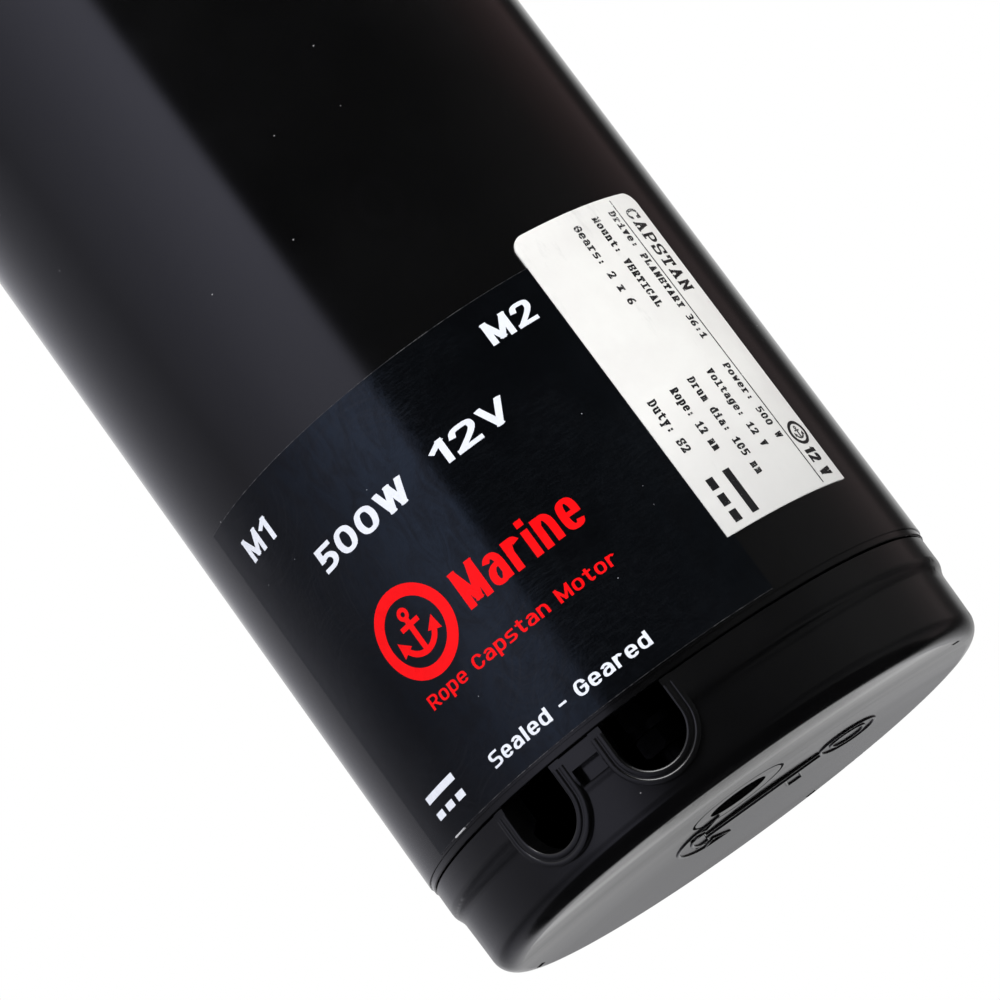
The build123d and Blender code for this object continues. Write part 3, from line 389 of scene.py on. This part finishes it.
def softened(points, closed):
    """Cuts the corners of a line twice over, so that it curves."""
    for _ in range(SMOOTHING):
        pairs = list(zip(points, points[1:] + points[:1])) if closed else list(zip(points, points[1:]))
        cut = []
        for (ax, ay), (bx, by) in pairs:
            cut += [(NEAR * ax + FAR * bx, NEAR * ay + FAR * by), (FAR * ax + NEAR * bx, FAR * ay + NEAR * by)]
        points = cut if closed else [points[0]] + cut[1:-1] + [points[-1]]
    return points


def longer(points, by):
    """A line with both ends run on by that much."""
    def run_on(end, inner):
        length = math.hypot(end[0] - inner[0], end[1] - inner[1])
        return (end[0] + (end[0] - inner[0]) / length * by, end[1] + (end[1] - inner[1]) / length * by)
    return [run_on(points[0], points[1])] + points[1:-1] + [run_on(points[-1], points[-2])]


def glyph(letter, left, width, low, high, stroke, slab):
    """The outlines of one letter in a box, in mm. Its level strokes are thinner than its upright ones."""
    thin = SLAB_THIN if slab else SANS_THIN
    if slab and letter in CROWDED:
        stroke *= CROWDED_STROKE
    plain, _, serifs = GLYPHS[letter].partition("|")
    strokes = []
    for code in (plain + " " + serifs if slab else plain).split():
        kind = code[0] if code[0] in "~o" else ""
        digits = code[len(kind):]
        points = [(int(digits[i], 36), int(digits[i + 1], 36)) for i in range(0, len(digits), 2)]
        if letter.islower():
            points = [(x, raised_x_height(y)) for x, y in points]
        strokes.append((kind, points))
    first = min(x for _, points in strokes for x, _ in points)
    last = max(x for _, points in strokes for x, _ in points)
    across = (width - stroke) / (last - first) if last > first else 0.0
    start = left + stroke / 2 if across else left + width / 2
    up = (high - low - stroke * thin) / (GRID_CAPITAL - GRID_BASE)
    foot = low + stroke * thin / 2
    outlines = []
    for kind, points in strokes:
        placed = [(start + (x - first) * across, (foot + (y - GRID_BASE) * up) / thin) for x, y in points]
        if kind == "o":
            outlines += band(softened(placed, True), stroke, closed=True)
        elif kind == "~":
            outlines += band(longer(softened(placed, False), stroke * SMOOTH_END), stroke)
        else:
            for pair in zip(placed, placed[1:]):
                outlines += band(longer(list(pair), stroke / 2), stroke)
    bottom = low - DESCENT * (high - low) if letter in BELOW_BASE else low
    return [clipped([(x, y * thin) for x, y in outline], bottom, high) for outline in outlines]


def raised_x_height(y):
    """Moves the x-height up, and what is above it into the room that is left."""
    if y <= GRID_BASE:
        return y
    if y <= GRID_X:
        return y + X_HEIGHT_RISE * (y - GRID_BASE) / (GRID_X - GRID_BASE)
    return GRID_CAPITAL - (GRID_CAPITAL - y) * (1 - X_HEIGHT_RISE / (GRID_CAPITAL - GRID_X))


def clipped(outline, low, high):
    """An outline without what is below low or above high."""
    for limit, side in ((low, 1), (high, -1)):
        kept = []
        for (ax, ay), (bx, by) in zip(outline, outline[1:] + outline[:1]):
            if (ay - limit) * side >= 0:
                kept.append((ax, ay))
            if (ay - limit) * (by - limit) < 0:
                kept.append((ax + (bx - ax) * (limit - ay) / (by - ay), limit))
        outline = kept
    return outline


def set_type(words, start, end, low, high, stroke=0.3, slab=False, down=False):
    """Type set on the unrolled label, in mm: it runs from start to end, its capitals from low to high, with
    strokes that share of their height. Slab type has serifs and letters of one width, as a typewriter's.
    The line runs round the casing, or down it if down is true, with the tops of the letters to the right."""
    widths = [MONO_WIDTH if slab else GLYPH_WIDTHS.get(letter, SMALL_WIDTH if letter.islower() else CAPITAL_WIDTH)
              for letter in words]
    gap = MONO_GAP if slab else LETTER_GAP
    unit = abs(end - start) / (sum(widths) + gap * (len(words) - 1))
    pen, letters = 0.0, []
    line = stroke * (high - low)
    for letter, width in zip(words, widths):
        if letter != " ":
            outlines = glyph(letter, pen * unit, width * unit, low, high, line, slab)
            if down:
                outlines = [[(y, start - x) for x, y in outline] for outline in outlines]
            else:
                outlines = [[(start + x, y) for x, y in outline] for outline in outlines]
            letters.append(flat_shape(outlines))
        pen += width + gap
    return letters


def inside(point, outline):
    """Is the point in the closed outline? A line from it to the right crosses the outline an odd number of
    times if it is."""
    crossings = 0
    for (ax, ay), (bx, by) in zip(outline, outline[1:] + outline[:1]):
        if (ay > point.y) != (by > point.y):
            crossings += point.x < ax + (bx - ax) * (point.y - ay) / (by - ay)
    return crossings % 2 == 1


def flat_shape(outlines):
    """What closed outlines in mm cover together on the unrolled label, as one bmesh from 0 to 1 in z."""
    corners, edges, kept = [], [], []
    for outline in outlines:
        turns = sum(ax * by - bx * ay for (ax, ay), (bx, by) in zip(outline, outline[1:] + outline[:1]))
        if abs(turns) > NO_AREA:
            first, count = len(corners), len(outline)
            edges += [(first + i, first + (i + 1) % count) for i in range(count)]
            corners += [Vector(p) for p in outline]
            kept.append(outline)
    points, _, triangles, _, _, _ = delaunay_2d_cdt(corners, edges, [], 1, CLOSE_ENOUGH)
    bm = bmesh.new()
    grid = [bm.verts.new((p.x * MM, p.y * MM, 0.0)) for p in points]
    for triangle in triangles:
        middle = sum((points[i] for i in triangle), Vector((0.0, 0.0))) / 3
        if any(inside(middle, outline) for outline in kept):
            bm.faces.new([grid[i] for i in triangle])
    bmesh.ops.delete(bm, geom=[v for v in bm.verts if not v.link_faces], context="VERTS")
    lifted = bmesh.ops.extrude_face_region(bm, geom=bm.faces[:])
    for v in lifted["geom"]:
        if isinstance(v, bmesh.types.BMVert):
            v.co.z = 1.0
    return bm


def band(points, width, closed=False):
    """A line of that width through points: a rectangle along each step and a wedge at each bend."""
    steps = list(zip(points, points[1:] + points[:1])) if closed else list(zip(points, points[1:]))
    sides, outlines = [], []
    for (ax, ay), (bx, by) in steps:
        length = math.hypot(bx - ax, by - ay)
        nx, ny = -(by - ay) / length * width / 2, (bx - ax) / length * width / 2
        sides.append((nx, ny))
        outlines.append([(ax + nx, ay + ny), (ax - nx, ay - ny), (bx - nx, by - ny), (bx + nx, by + ny)])
    for i in range(0 if closed else 1, len(steps)):
        (x, y), (px, py), (qx, qy) = steps[i][0], sides[i - 1], sides[i]
        outlines += [[(x, y), (x + px, y + py), (x + qx, y + qy)], [(x, y), (x - px, y - py), (x - qx, y - qy)]]
    return outlines


def arc(x, y, radius, start, end, steps):
    """Points on an arc; angles in degrees from +x."""
    angles = [math.radians(start + (end - start) * i / steps) for i in range(steps + 1)]
    return [(x + radius * math.cos(a), y + radius * math.sin(a)) for a in angles]


def box_outline(x0, x1, y0, y1):
    """The corners of a box, in order."""
    return [(x0, y0), (x1, y0), (x1, y1), (x0, y1)]


def flattened(parts):
    """Shapes and lists of shapes as one list."""
    return [shape for part in parts for shape in (part if isinstance(part, list) else [part])]


def wrapped(name, parts, radius, material, slot, rise=INK_RISE, sunk=INK_SUNK):
    """Joins flat parts, cuts them every CUT_EVERY round the casing and bends them onto it."""
    joined = bmesh.new()
    for part in flattened(parts):
        reach = [v.co.x for v in part.verts]
        first, last = math.ceil(min(reach) / CUT_EVERY), math.floor(max(reach) / CUT_EVERY)
        for k in range(first, last + 1):
            geom = part.verts[:] + part.edges[:] + part.faces[:]
            bmesh.ops.bisect_plane(part, geom=geom, plane_co=(k * CUT_EVERY, 0, 0), plane_no=(1, 0, 0), dist=CUT_SNAP)
        mesh = bpy.data.meshes.new("part")
        part.to_mesh(mesh)
        part.free()
        joined.from_mesh(mesh)
        bpy.data.meshes.remove(mesh)
    for v in joined.verts:
        angle = v.co.x / radius
        reach = radius - sunk + v.co.z * (sunk + rise)
        v.co = Vector((reach * math.sin(angle), -reach * math.cos(angle), JOINT_Z + v.co.y))
    bmesh.ops.recalc_face_normals(joined, faces=joined.faces)
    mesh = bpy.data.meshes.new(name)
    joined.to_mesh(mesh)
    joined.free()
    mesh.polygons.foreach_set("use_smooth", [True] * len(mesh.polygons))
    mesh.set_sharp_from_angle(angle=math.radians(SHARP_ANGLE))
    return piece(name, mesh, material, slot)


def piece(name, mesh, material, slot, body="housing"):
    """Puts a mesh in the scene as one of the object's own pieces."""
    obj = bpy.data.objects.new(name, mesh)
    scene.collection.objects.link(obj)
    obj.data.materials.append(material)
    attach(obj, body)
    return obj


def anchor_badge(x, y, size):
    """A ring with a plain anchor in it, size across, as outlines."""
    r = size / 2
    shapes = band(arc(x, y, r * 0.87, 0, 360, 72)[:-1], r * 0.26, closed=True)
    shapes += band(arc(x, y + r * 0.43, r * 0.10, 0, 360, 20)[:-1], r * 0.09, closed=True)
    shapes.append(box_outline(x - r * 0.065, x + r * 0.065, y - r * 0.50, y + r * 0.34))
    shapes.append(box_outline(x - r * 0.26, x + r * 0.26, y + r * 0.13, y + r * 0.24))
    shapes += band(arc(x, y + r * 0.02, r * 0.47, 205, 335, 26), r * 0.13)
    for side in (-1, 1):
        tip = (x + side * r * 0.53, y + r * 0.06)
        shapes.append([tip, (x + side * r * 0.26, y - r * 0.17), (x + side * r * 0.58, y - r * 0.29)][::side])
    return shapes


def print_labels():
    white = print_ink("ink_white", (0.80, 0.83, 0.89))
    red = print_ink("ink_red", (0.90, 0.004, 0.006), 0.15)
    black = print_ink("ink_black", (0.012, 0.012, 0.013), worn=0.025)
    wrapped("motor_label_white_print", [
        set_type("M1", -52.3, -42.7, 63.3, 67.9, 0.27),
        set_type("500W", -38.2, -14.9, 51.5, 56.2, 0.29),
        set_type("12V", -8.4, 7.4, 52.1, 56.8, 0.29),
        set_type("M2", 11.8, 21.7, 64.4, 68.9, 0.27),
        set_type("Sealed - Geared", -33.0, 3.6, 5.8, 8.6, 0.24),
        flat_shape([box_outline(-52.0, -41.9, 9.6, 11.0)] +
                   [box_outline(x, x + 2.5, 6.2, 7.6) for x in (-52.0, -48.2, -44.4)]),
    ], LABEL_R, white, "label_silver")
    wrapped("motor_label_red_print", [
        flat_shape(anchor_badge(-29.9, 33.3, 17.3)),
        set_type("Marine", -18.6, 7.1, 29.6, 37.0, 0.2),
        set_type("Rope Capstan Motor", -36.4, 7.1, 20.7, 23.3, 0.22),
    ], LABEL_R, red, "label_silver")

    rows = [("CAPSTAN", 75.7, 57.2, 52.9, 56.3, 0.17)]
    rows += [(words, start, end, low, low + 1.8, 0.225) for words, start, end, low in (
        ("Drive: PLANETARY 36:1", 76.2, 47.6, 48.4),
        ("Mount: VERTICAL", 76.2, 56.2, 43.6),
        ("Gears: 2 x 6", 76.0, 58.6, 38.4),
        ("Power: 500 W", 41.8, 25.3, 48.5),
        ("Voltage: 12 V", 42.0, 25.0, 43.7),
        ("Drum dia: 105 mm", 42.0, 21.0, 38.6),
        ("Rope: 12 mm", 41.6, 28.2, 33.9),
        ("Duty: S2", 41.6, 30.5, 28.5),
    )]
    type_rows = [set_type(words, start, end, low, high, stroke, slab=True, down=True)
                 for words, start, end, low, high, stroke in rows]
    current_sign = [box_outline(32.6, 34.2, 15.4, 24.5)]
    current_sign += [box_outline(28.6, 30.2, z, z + 2.3) for z in (15.4, 18.8, 22.2)]
    rule = [[(50.8, 78.3), (51.5, 14.6), (51.75, 14.6), (51.05, 78.3)]]
    wrapped("rating_label_print", type_rows + [flat_shape(rule)], PLATE_R, black, "label_black")
    solid_black = print_ink("ink_solid_black", (0.012, 0.012, 0.013), worn=-0.02)
    wrapped("rating_label_signs", [
        flat_shape(current_sign),
        flat_shape(anchor_badge(54.9, 24.9, 5.0)),
        set_type("12 V", 21.6, 15.6, 52.9, 56.1, 0.24, down=True),
    ], PLATE_R, solid_black, "label_black")


def label_edges():
    """A hair of dust along the black label's edges that is light grey as a painted edge highlight too, and a lifted
    end painted light grey as a painted highlight where it catches the light.
    """
    left, right, low, high = MOTOR_LABEL
    width = DUST_AND_HIGHLIGHT_WIDTH
    strips = [
        box_outline(left, right, high, high + width),
        box_outline(left, right, low - width, low),
        box_outline(left - width, left, low - width, high + width),
    ]
    wrapped("motor_label_edge", [flat_shape(strips)], CASING_R, edge_dust_and_highlight(), "label_black", DUST_AND_HIGHLIGHT_RISE)
    # Painted highlight: the lifted end is painted light grey where it catches the light.
    lifted = Finish("lifted_edge_painted_highlight", (0.62, 0.63, 0.64), 0.3)
    tone = lifted.spread(lifted.noise(1200.0), 0.0, 1.0)
    lifted.set("Base Color", lifted.mix(tone, (0.42, 0.42, 0.43), (0.7, 0.7, 0.7)))
    wrapped("motor_label_lifted_edge", [flat_shape([box_outline(*LIFTED_END)])],
            CASING_R, lifted.material, "label_silver", LIFTED_RISE)


# ---------------------------------------------------------------- raised mark under the cap

def round_line(name, lines, width, height, place):
    """Raised half-round lines. Each line is points in mm, and closed or not; place takes a point to 3D."""
    curve = bpy.data.curves.new(name, "CURVE")
    curve.dimensions = "3D"
    curve.bevel_depth = width / 2
    curve.bevel_resolution = 3
    curve.use_fill_caps = True
    for points, closed in lines:
        spline = curve.splines.new("POLY")
        spline.points.add(len(points) - 1)
        for knot, (x, y) in zip(spline.points, points):
            knot.co = (x * MM, y * MM, 0.0, 1.0)
        spline.use_cyclic_u = closed
    holder = bpy.data.objects.new(name, curve)
    scene.collection.objects.link(holder)
    bpy.context.view_layer.update()
    mesh = bpy.data.meshes.new_from_object(holder.evaluated_get(bpy.context.evaluated_depsgraph_get()))
    bpy.data.objects.remove(holder)
    bpy.data.curves.remove(curve)
    for v in mesh.vertices:
        v.co = place(v.co.x, v.co.y, v.co.z / (width / 2) * height)
    mesh.polygons.foreach_set("use_smooth", [True] * len(mesh.polygons))
    return piece(name, mesh, FINISHES["cap_plastic"], "cap_plastic")


PORT_FACING = (("left", -32.4), ("right", -6.4))      # degrees from -Y towards +X
PORT_R = 6.5
PORT_COLLAR_R = 8.9
PORT_CENTRE_DEPTH = 5.8
PORT_RIMS = (("inner", PORT_R + 0.6, 1.2, 0.22), ("outer", PORT_COLLAR_R - 0.4, 1.1, 0.16))   # radius, width, rise
PORT_RIM_TOP = -1.0
CAP_RIM_R = 54.5 * MM
CAP_DISH = 2.3 * MM
CAP_FOOT_R = 49.4 * MM
CAP_MARK_FORWARD = 12.0 * MM
CAP_MARK_WIDTH = 0.85 * MM
CAP_MARK_RISE = 0.3 * MM


def port_rims():
    """Rounded rims round the two cable ports: one at the opening and one at the collar's edge."""
    for side, degrees in PORT_FACING:
        turn = Matrix.Rotation(math.radians(degrees), 3, "Z")

        def on_wall(x, z, rise):
            return turn @ Vector((x, -math.sqrt(CAP_RIM_R ** 2 - x ** 2) - rise, JOINT_Z + z))

        for where, radius, width, rise in PORT_RIMS:
            bow = arc(0.0, -PORT_CENTRE_DEPTH, radius, 180, 360, 32)
            line = [(-radius, PORT_RIM_TOP)] + bow + [(radius, PORT_RIM_TOP)]
            round_line(f"port_rim_{side}_{where}", [(line, False)], width * MM, rise * MM, on_wall)


def cap_mark():
    """An anchor in outline, moulded on the cap's underside, lying across the central screw's side."""
    ring = arc(23.0, 5.0, 6.0, 0, 360, 48)[:-1]
    ring_inside = arc(23.0, 5.0, 3.6, 0, 360, 36)[:-1]
    shank = [(16.8, 6.6), (-9.0, 6.6), (-9.0, 9.6), (-12.0, 9.6)]
    shank_low = [(16.8, 3.4), (-9.0, 3.4), (-9.0, 0.4), (-12.0, 0.4)]
    stock = [(12.0, 6.6), (12.0, 13.6), (8.8, 13.6), (8.8, 6.6)]
    crown = arc(-3.0, 5.0, 12.4, 128, 232, 24)
    crown_inside = arc(-3.0, 5.0, 9.2, 140, 220, 18)
    fluke = [(-10.6, 14.8), (-5.0, 16.4), (-8.2, 11.4)]
    fluke_low = [(-10.6, -4.8), (-5.0, -6.4), (-8.2, -1.4)]
    lines = [(ring, True), (ring_inside, True), (shank, False), (shank_low, False), (stock, False),
             (crown, False), (crown_inside, False), (fluke, True), (fluke_low, True)]

    def on_dish(x, y, rise):
        y += CAP_MARK_FORWARD
        return Vector((x, y, CAP_LOW_Z + CAP_DISH * (1 - (x * x + y * y) / CAP_FOOT_R ** 2) - rise))

    round_line("end_cap_mark", lines, CAP_MARK_WIDTH, CAP_MARK_RISE, on_dish)


# ---------------------------------------------------------------- surroundings

FLOOR_Z = -0.45
FLOOR_REACH = 12.0
FLOOR_FADE = (0.9, 3.2)      # from the middle outwards, the floor turns to plain white between these distances
# Heights of the direction that is mirrored, from -1 straight down to 1 straight up.
LOW_TO_HIGH_WALL = (0.10, 0.29)
WALL_TO_CEILING = (0.42, 0.75)
SIDE_TO_ENDS = (-0.02, -0.08)
CEILING = (0.75, 0.75, 0.77, 1.0)


def floor():
    """A pale floor that fades to white, and that the camera sees through from below."""
    bm = bmesh.new()
    bmesh.ops.create_grid(bm, x_segments=4, y_segments=4, size=FLOOR_REACH)
    mesh = bpy.data.meshes.new("floor")
    bm.to_mesh(mesh)
    bm.free()
    obj = bpy.data.objects.new("floor", mesh)
    obj.location = (0.0, 0.0, FLOOR_Z)
    scene.collection.objects.link(obj)
    f = Finish("floor", (0.82, 0.82, 0.82), 0.8)
    speckle = f.noise(40.0, 4.0)
    f.set("Base Color", f.mix(f.spread(speckle, 0.0, 1.0), (0.80, 0.80, 0.80), (0.84, 0.84, 0.84)))
    f.set("Specular IOR Level", 0.2)
    reach = f.add("ShaderNodeVectorMath", {0: f.place}, operation="LENGTH").outputs["Value"]
    far = f.spread(reach, 0.0, 1.0, *FLOOR_FADE)
    glow = f.add("ShaderNodeEmission", {"Color": (1.0, 1.0, 1.0, 1.0), "Strength": 1.0})
    merged = f.add("ShaderNodeMixShader", {0: far, 1: f.shader.outputs[0], 2: glow.outputs[0]})
    clear = f.add("ShaderNodeBsdfTransparent")
    under = f.add("ShaderNodeNewGeometry").outputs["Backfacing"]
    sided = f.add("ShaderNodeMixShader", {0: under, 1: merged.outputs[0], 2: clear.outputs[0]})
    output = f.tree.nodes["Material Output"]
    f.tree.links.new(sided.outputs[0], output.inputs["Surface"])
    obj.data.materials.append(f.material)
    obj.visible_glossy = False


def room():
    """White to the camera. What the object mirrors is a soft box at the front left, white behind, and dark in
    front and at the right."""
    world = bpy.data.worlds.new("studio")
    scene.world = world
    world.use_nodes = True
    tree = world.node_tree
    tree.nodes.clear()
    place = tree.nodes.new("ShaderNodeTexCoord").outputs["Generated"]
    xyz = tree.nodes.new("ShaderNodeSeparateXYZ")
    tree.links.new(place, xyz.inputs[0])

    def math_node(operation, a, b=0.0):
        node = tree.nodes.new("ShaderNodeMath")
        node.operation = operation
        for i, value in enumerate((a, b)):
            if isinstance(value, bpy.types.NodeSocket):
                tree.links.new(value, node.inputs[i])
            else:
                node.inputs[i].default_value = value
        return node.outputs[0]

    front = math_node("MULTIPLY", xyz.outputs[1], -1.0)
    azimuth = math_node("ARCTAN2", xyz.outputs[0], front)
    turn = math_node("ADD", math_node("DIVIDE", azimuth, 2 * math.pi), 0.5)

    def color_ramp(factor, stops):
        """Stops are (place from 0 to 1, level, tint). A tint over 1 is bluish and one under 1 is reddish."""
        ramp = tree.nodes.new("ShaderNodeValToRGB")
        tree.links.new(factor, ramp.inputs[0])
        elements = ramp.color_ramp.elements
        elements.remove(elements[-1])
        for i, (at, level, tint) in enumerate(stops):
            stop = elements[0] if i == 0 else elements.new(at)
            stop.position = at
            stop.color = (level, level * min(tint, 1.0), level * tint, 1.0)
        return ramp.outputs[0]

    def by_height(start, end):
        node = tree.nodes.new("ShaderNodeMapRange")
        node.inputs["From Min"].default_value = start
        node.inputs["From Max"].default_value = end
        tree.links.new(xyz.outputs[2], node.inputs["Value"])
        return node.outputs["Result"]

    def blend(kind, factor, a, b):
        node = tree.nodes.new("ShaderNodeMix")
        node.data_type = "RGBA"
        node.blend_type = kind
        for index, value in ((0, factor), (6, a), (7, b)):
            if isinstance(value, bpy.types.NodeSocket):
                tree.links.new(value, node.inputs[index])
            else:
                node.inputs[index].default_value = value
        return node.outputs[2]

    def all_round(stops):
        """Stops are (degrees from -Y towards +X, level, tint)."""
        return color_ramp(turn, [(degrees / 360 + 0.5, level, tint) for degrees, level, tint in stops])

    upper = all_round([
        (-180, 1.0, 1.0), (-150, 0.62, 1.1), (-118, 0.40, 1.15), (-90, 0.30, 1.2), (-60, 0.60, 1.25),
        (-27, 1.06, 1.25), (-22, 1.08, 1.25), (-18, 0.02, 1.0), (60, 0.02, 1.0), (95, 0.08, 0.9),
        (112, 0.13, 0.72), (134, 0.18, 0.70), (141, 0.05, 0.8), (149, 0.03, 1.0), (155, 0.30, 1.0),
        (162, 0.62, 1.0), (171, 0.85, 1.0)])
    lower = all_round([
        (-180, 0.80, 1.0), (-150, 0.38, 1.1), (-118, 0.24, 1.15), (-90, 0.18, 1.2), (-66, 0.30, 1.25),
        (-50, 0.47, 1.25), (-38, 0.42, 1.25), (-30, 0.22, 1.25), (-20, 0.08, 1.2), (-8, 0.02, 1.0),
        (20, 0.03, 1.0), (40, 0.08, 1.0), (60, 0.12, 1.0), (80, 0.16, 1.0), (110, 0.15, 0.95),
        (134, 0.18, 0.85), (141, 0.05, 0.9), (149, 0.04, 1.0), (155, 0.30, 1.0), (162, 0.55, 1.0),
        (171, 0.75, 1.0)])
    walls = blend("MIX", by_height(*LOW_TO_HIGH_WALL), lower, upper)
    walls = blend("MIX", by_height(*WALL_TO_CEILING), walls, CEILING)
    below = color_ramp(by_height(-1.0, 0.0), [(0.0, 0.03, 1.0), (0.46, 0.04, 1.0), (0.54, 0.95, 1.0),
                                              (0.66, 0.85, 1.02), (0.80, 0.52, 1.03), (0.92, 0.62, 1.0),
                                              (1.0, 1.0, 1.0)])
    shaded = blend("MULTIPLY", 1.0, walls, below)
    ends = all_round([(-180, 1.0, 1.0), (-179.3, 1.05, 1.0), (-178.6, 1.15, 1.0), (-178, 1.25, 1.0), (-172, 1.3, 1.0),
                      (-164, 1.0, 1.0), (164, 1.0, 1.0), (172, 1.45, 1.0), (177.6, 1.45, 1.0), (178.1, 1.38, 1.0),
                      (178.6, 1.26, 1.0), (179.1, 1.06, 1.0), (180, 1.0, 1.0)])
    shaded = blend("MULTIPLY", by_height(*SIDE_TO_ENDS), shaded, ends)
    mirrored = tree.nodes.new("ShaderNodeBackground")
    tree.links.new(shaded, mirrored.inputs["Color"])
    seen = tree.nodes.new("ShaderNodeBackground")
    seen.inputs["Color"].default_value = (1.0, 1.0, 1.0, 1.0)
    path = tree.nodes.new("ShaderNodeLightPath")
    either = tree.nodes.new("ShaderNodeMixShader")
    tree.links.new(path.outputs["Is Camera Ray"], either.inputs[0])
    tree.links.new(mirrored.outputs[0], either.inputs[1])
    tree.links.new(seen.outputs[0], either.inputs[2])
    output = tree.nodes.new("ShaderNodeOutputWorld")
    tree.links.new(either.outputs[0], output.inputs["Surface"])


def soft_light(name, place, target, size, power):
    """A rectangular light, aimed from its place at the target."""
    lamp = bpy.data.lights.new(name, "AREA")
    lamp.shape = "RECTANGLE"
    lamp.size, lamp.size_y = size
    lamp.energy = power
    obj = bpy.data.objects.new(name, lamp)
    obj.location = place
    direction = Vector(target) - Vector(place)
    obj.rotation_euler = direction.to_track_quat("-Z", "Y").to_euler()
    obj.visible_camera = False
    scene.collection.objects.link(obj)


def camera():
    """The photograph's view: from a little below the motor's end, looking up, with the camera rolled."""
    pitch, roll, yaw = math.radians(11.7472), math.radians(-36.1945), math.radians(-0.05)
    lens = bpy.data.cameras.new("camera")
    lens.lens = 157.246
    lens.sensor_width = 36.0
    lens.clip_start = 0.05
    lens.clip_end = 60.0
    obj = bpy.data.objects.new("camera", lens)
    obj.location = (-0.00379, -0.78893, JOINT_Z - 0.11098)
    turn = Matrix.Rotation(yaw, 3, "Z") @ Matrix.Rotation(math.pi / 2 + pitch, 3, "X") @ Matrix.Rotation(roll, 3, "Z")
    obj.rotation_euler = turn.to_euler()
    scene.collection.objects.link(obj)
    scene.camera = obj


dress_frame()
print_labels()
label_edges()
port_rims()
cap_mark()
floor()
room()
soft_light("key", (-0.1, -1.5, 1.45), (0.0, 0.0, -0.12), (1.1, 0.9), 30.0)
soft_light("fill_right", (1.3, -0.9, 1.6), (0.0, 0.0, -0.1), (1.0, 1.0), 15.0)
soft_light("back", (0.3, 1.9, 1.5), (0.0, 0.0, 0.0), (1.4, 1.0), 50.0)
camera()
scene.view_settings.view_transform = "Standard"
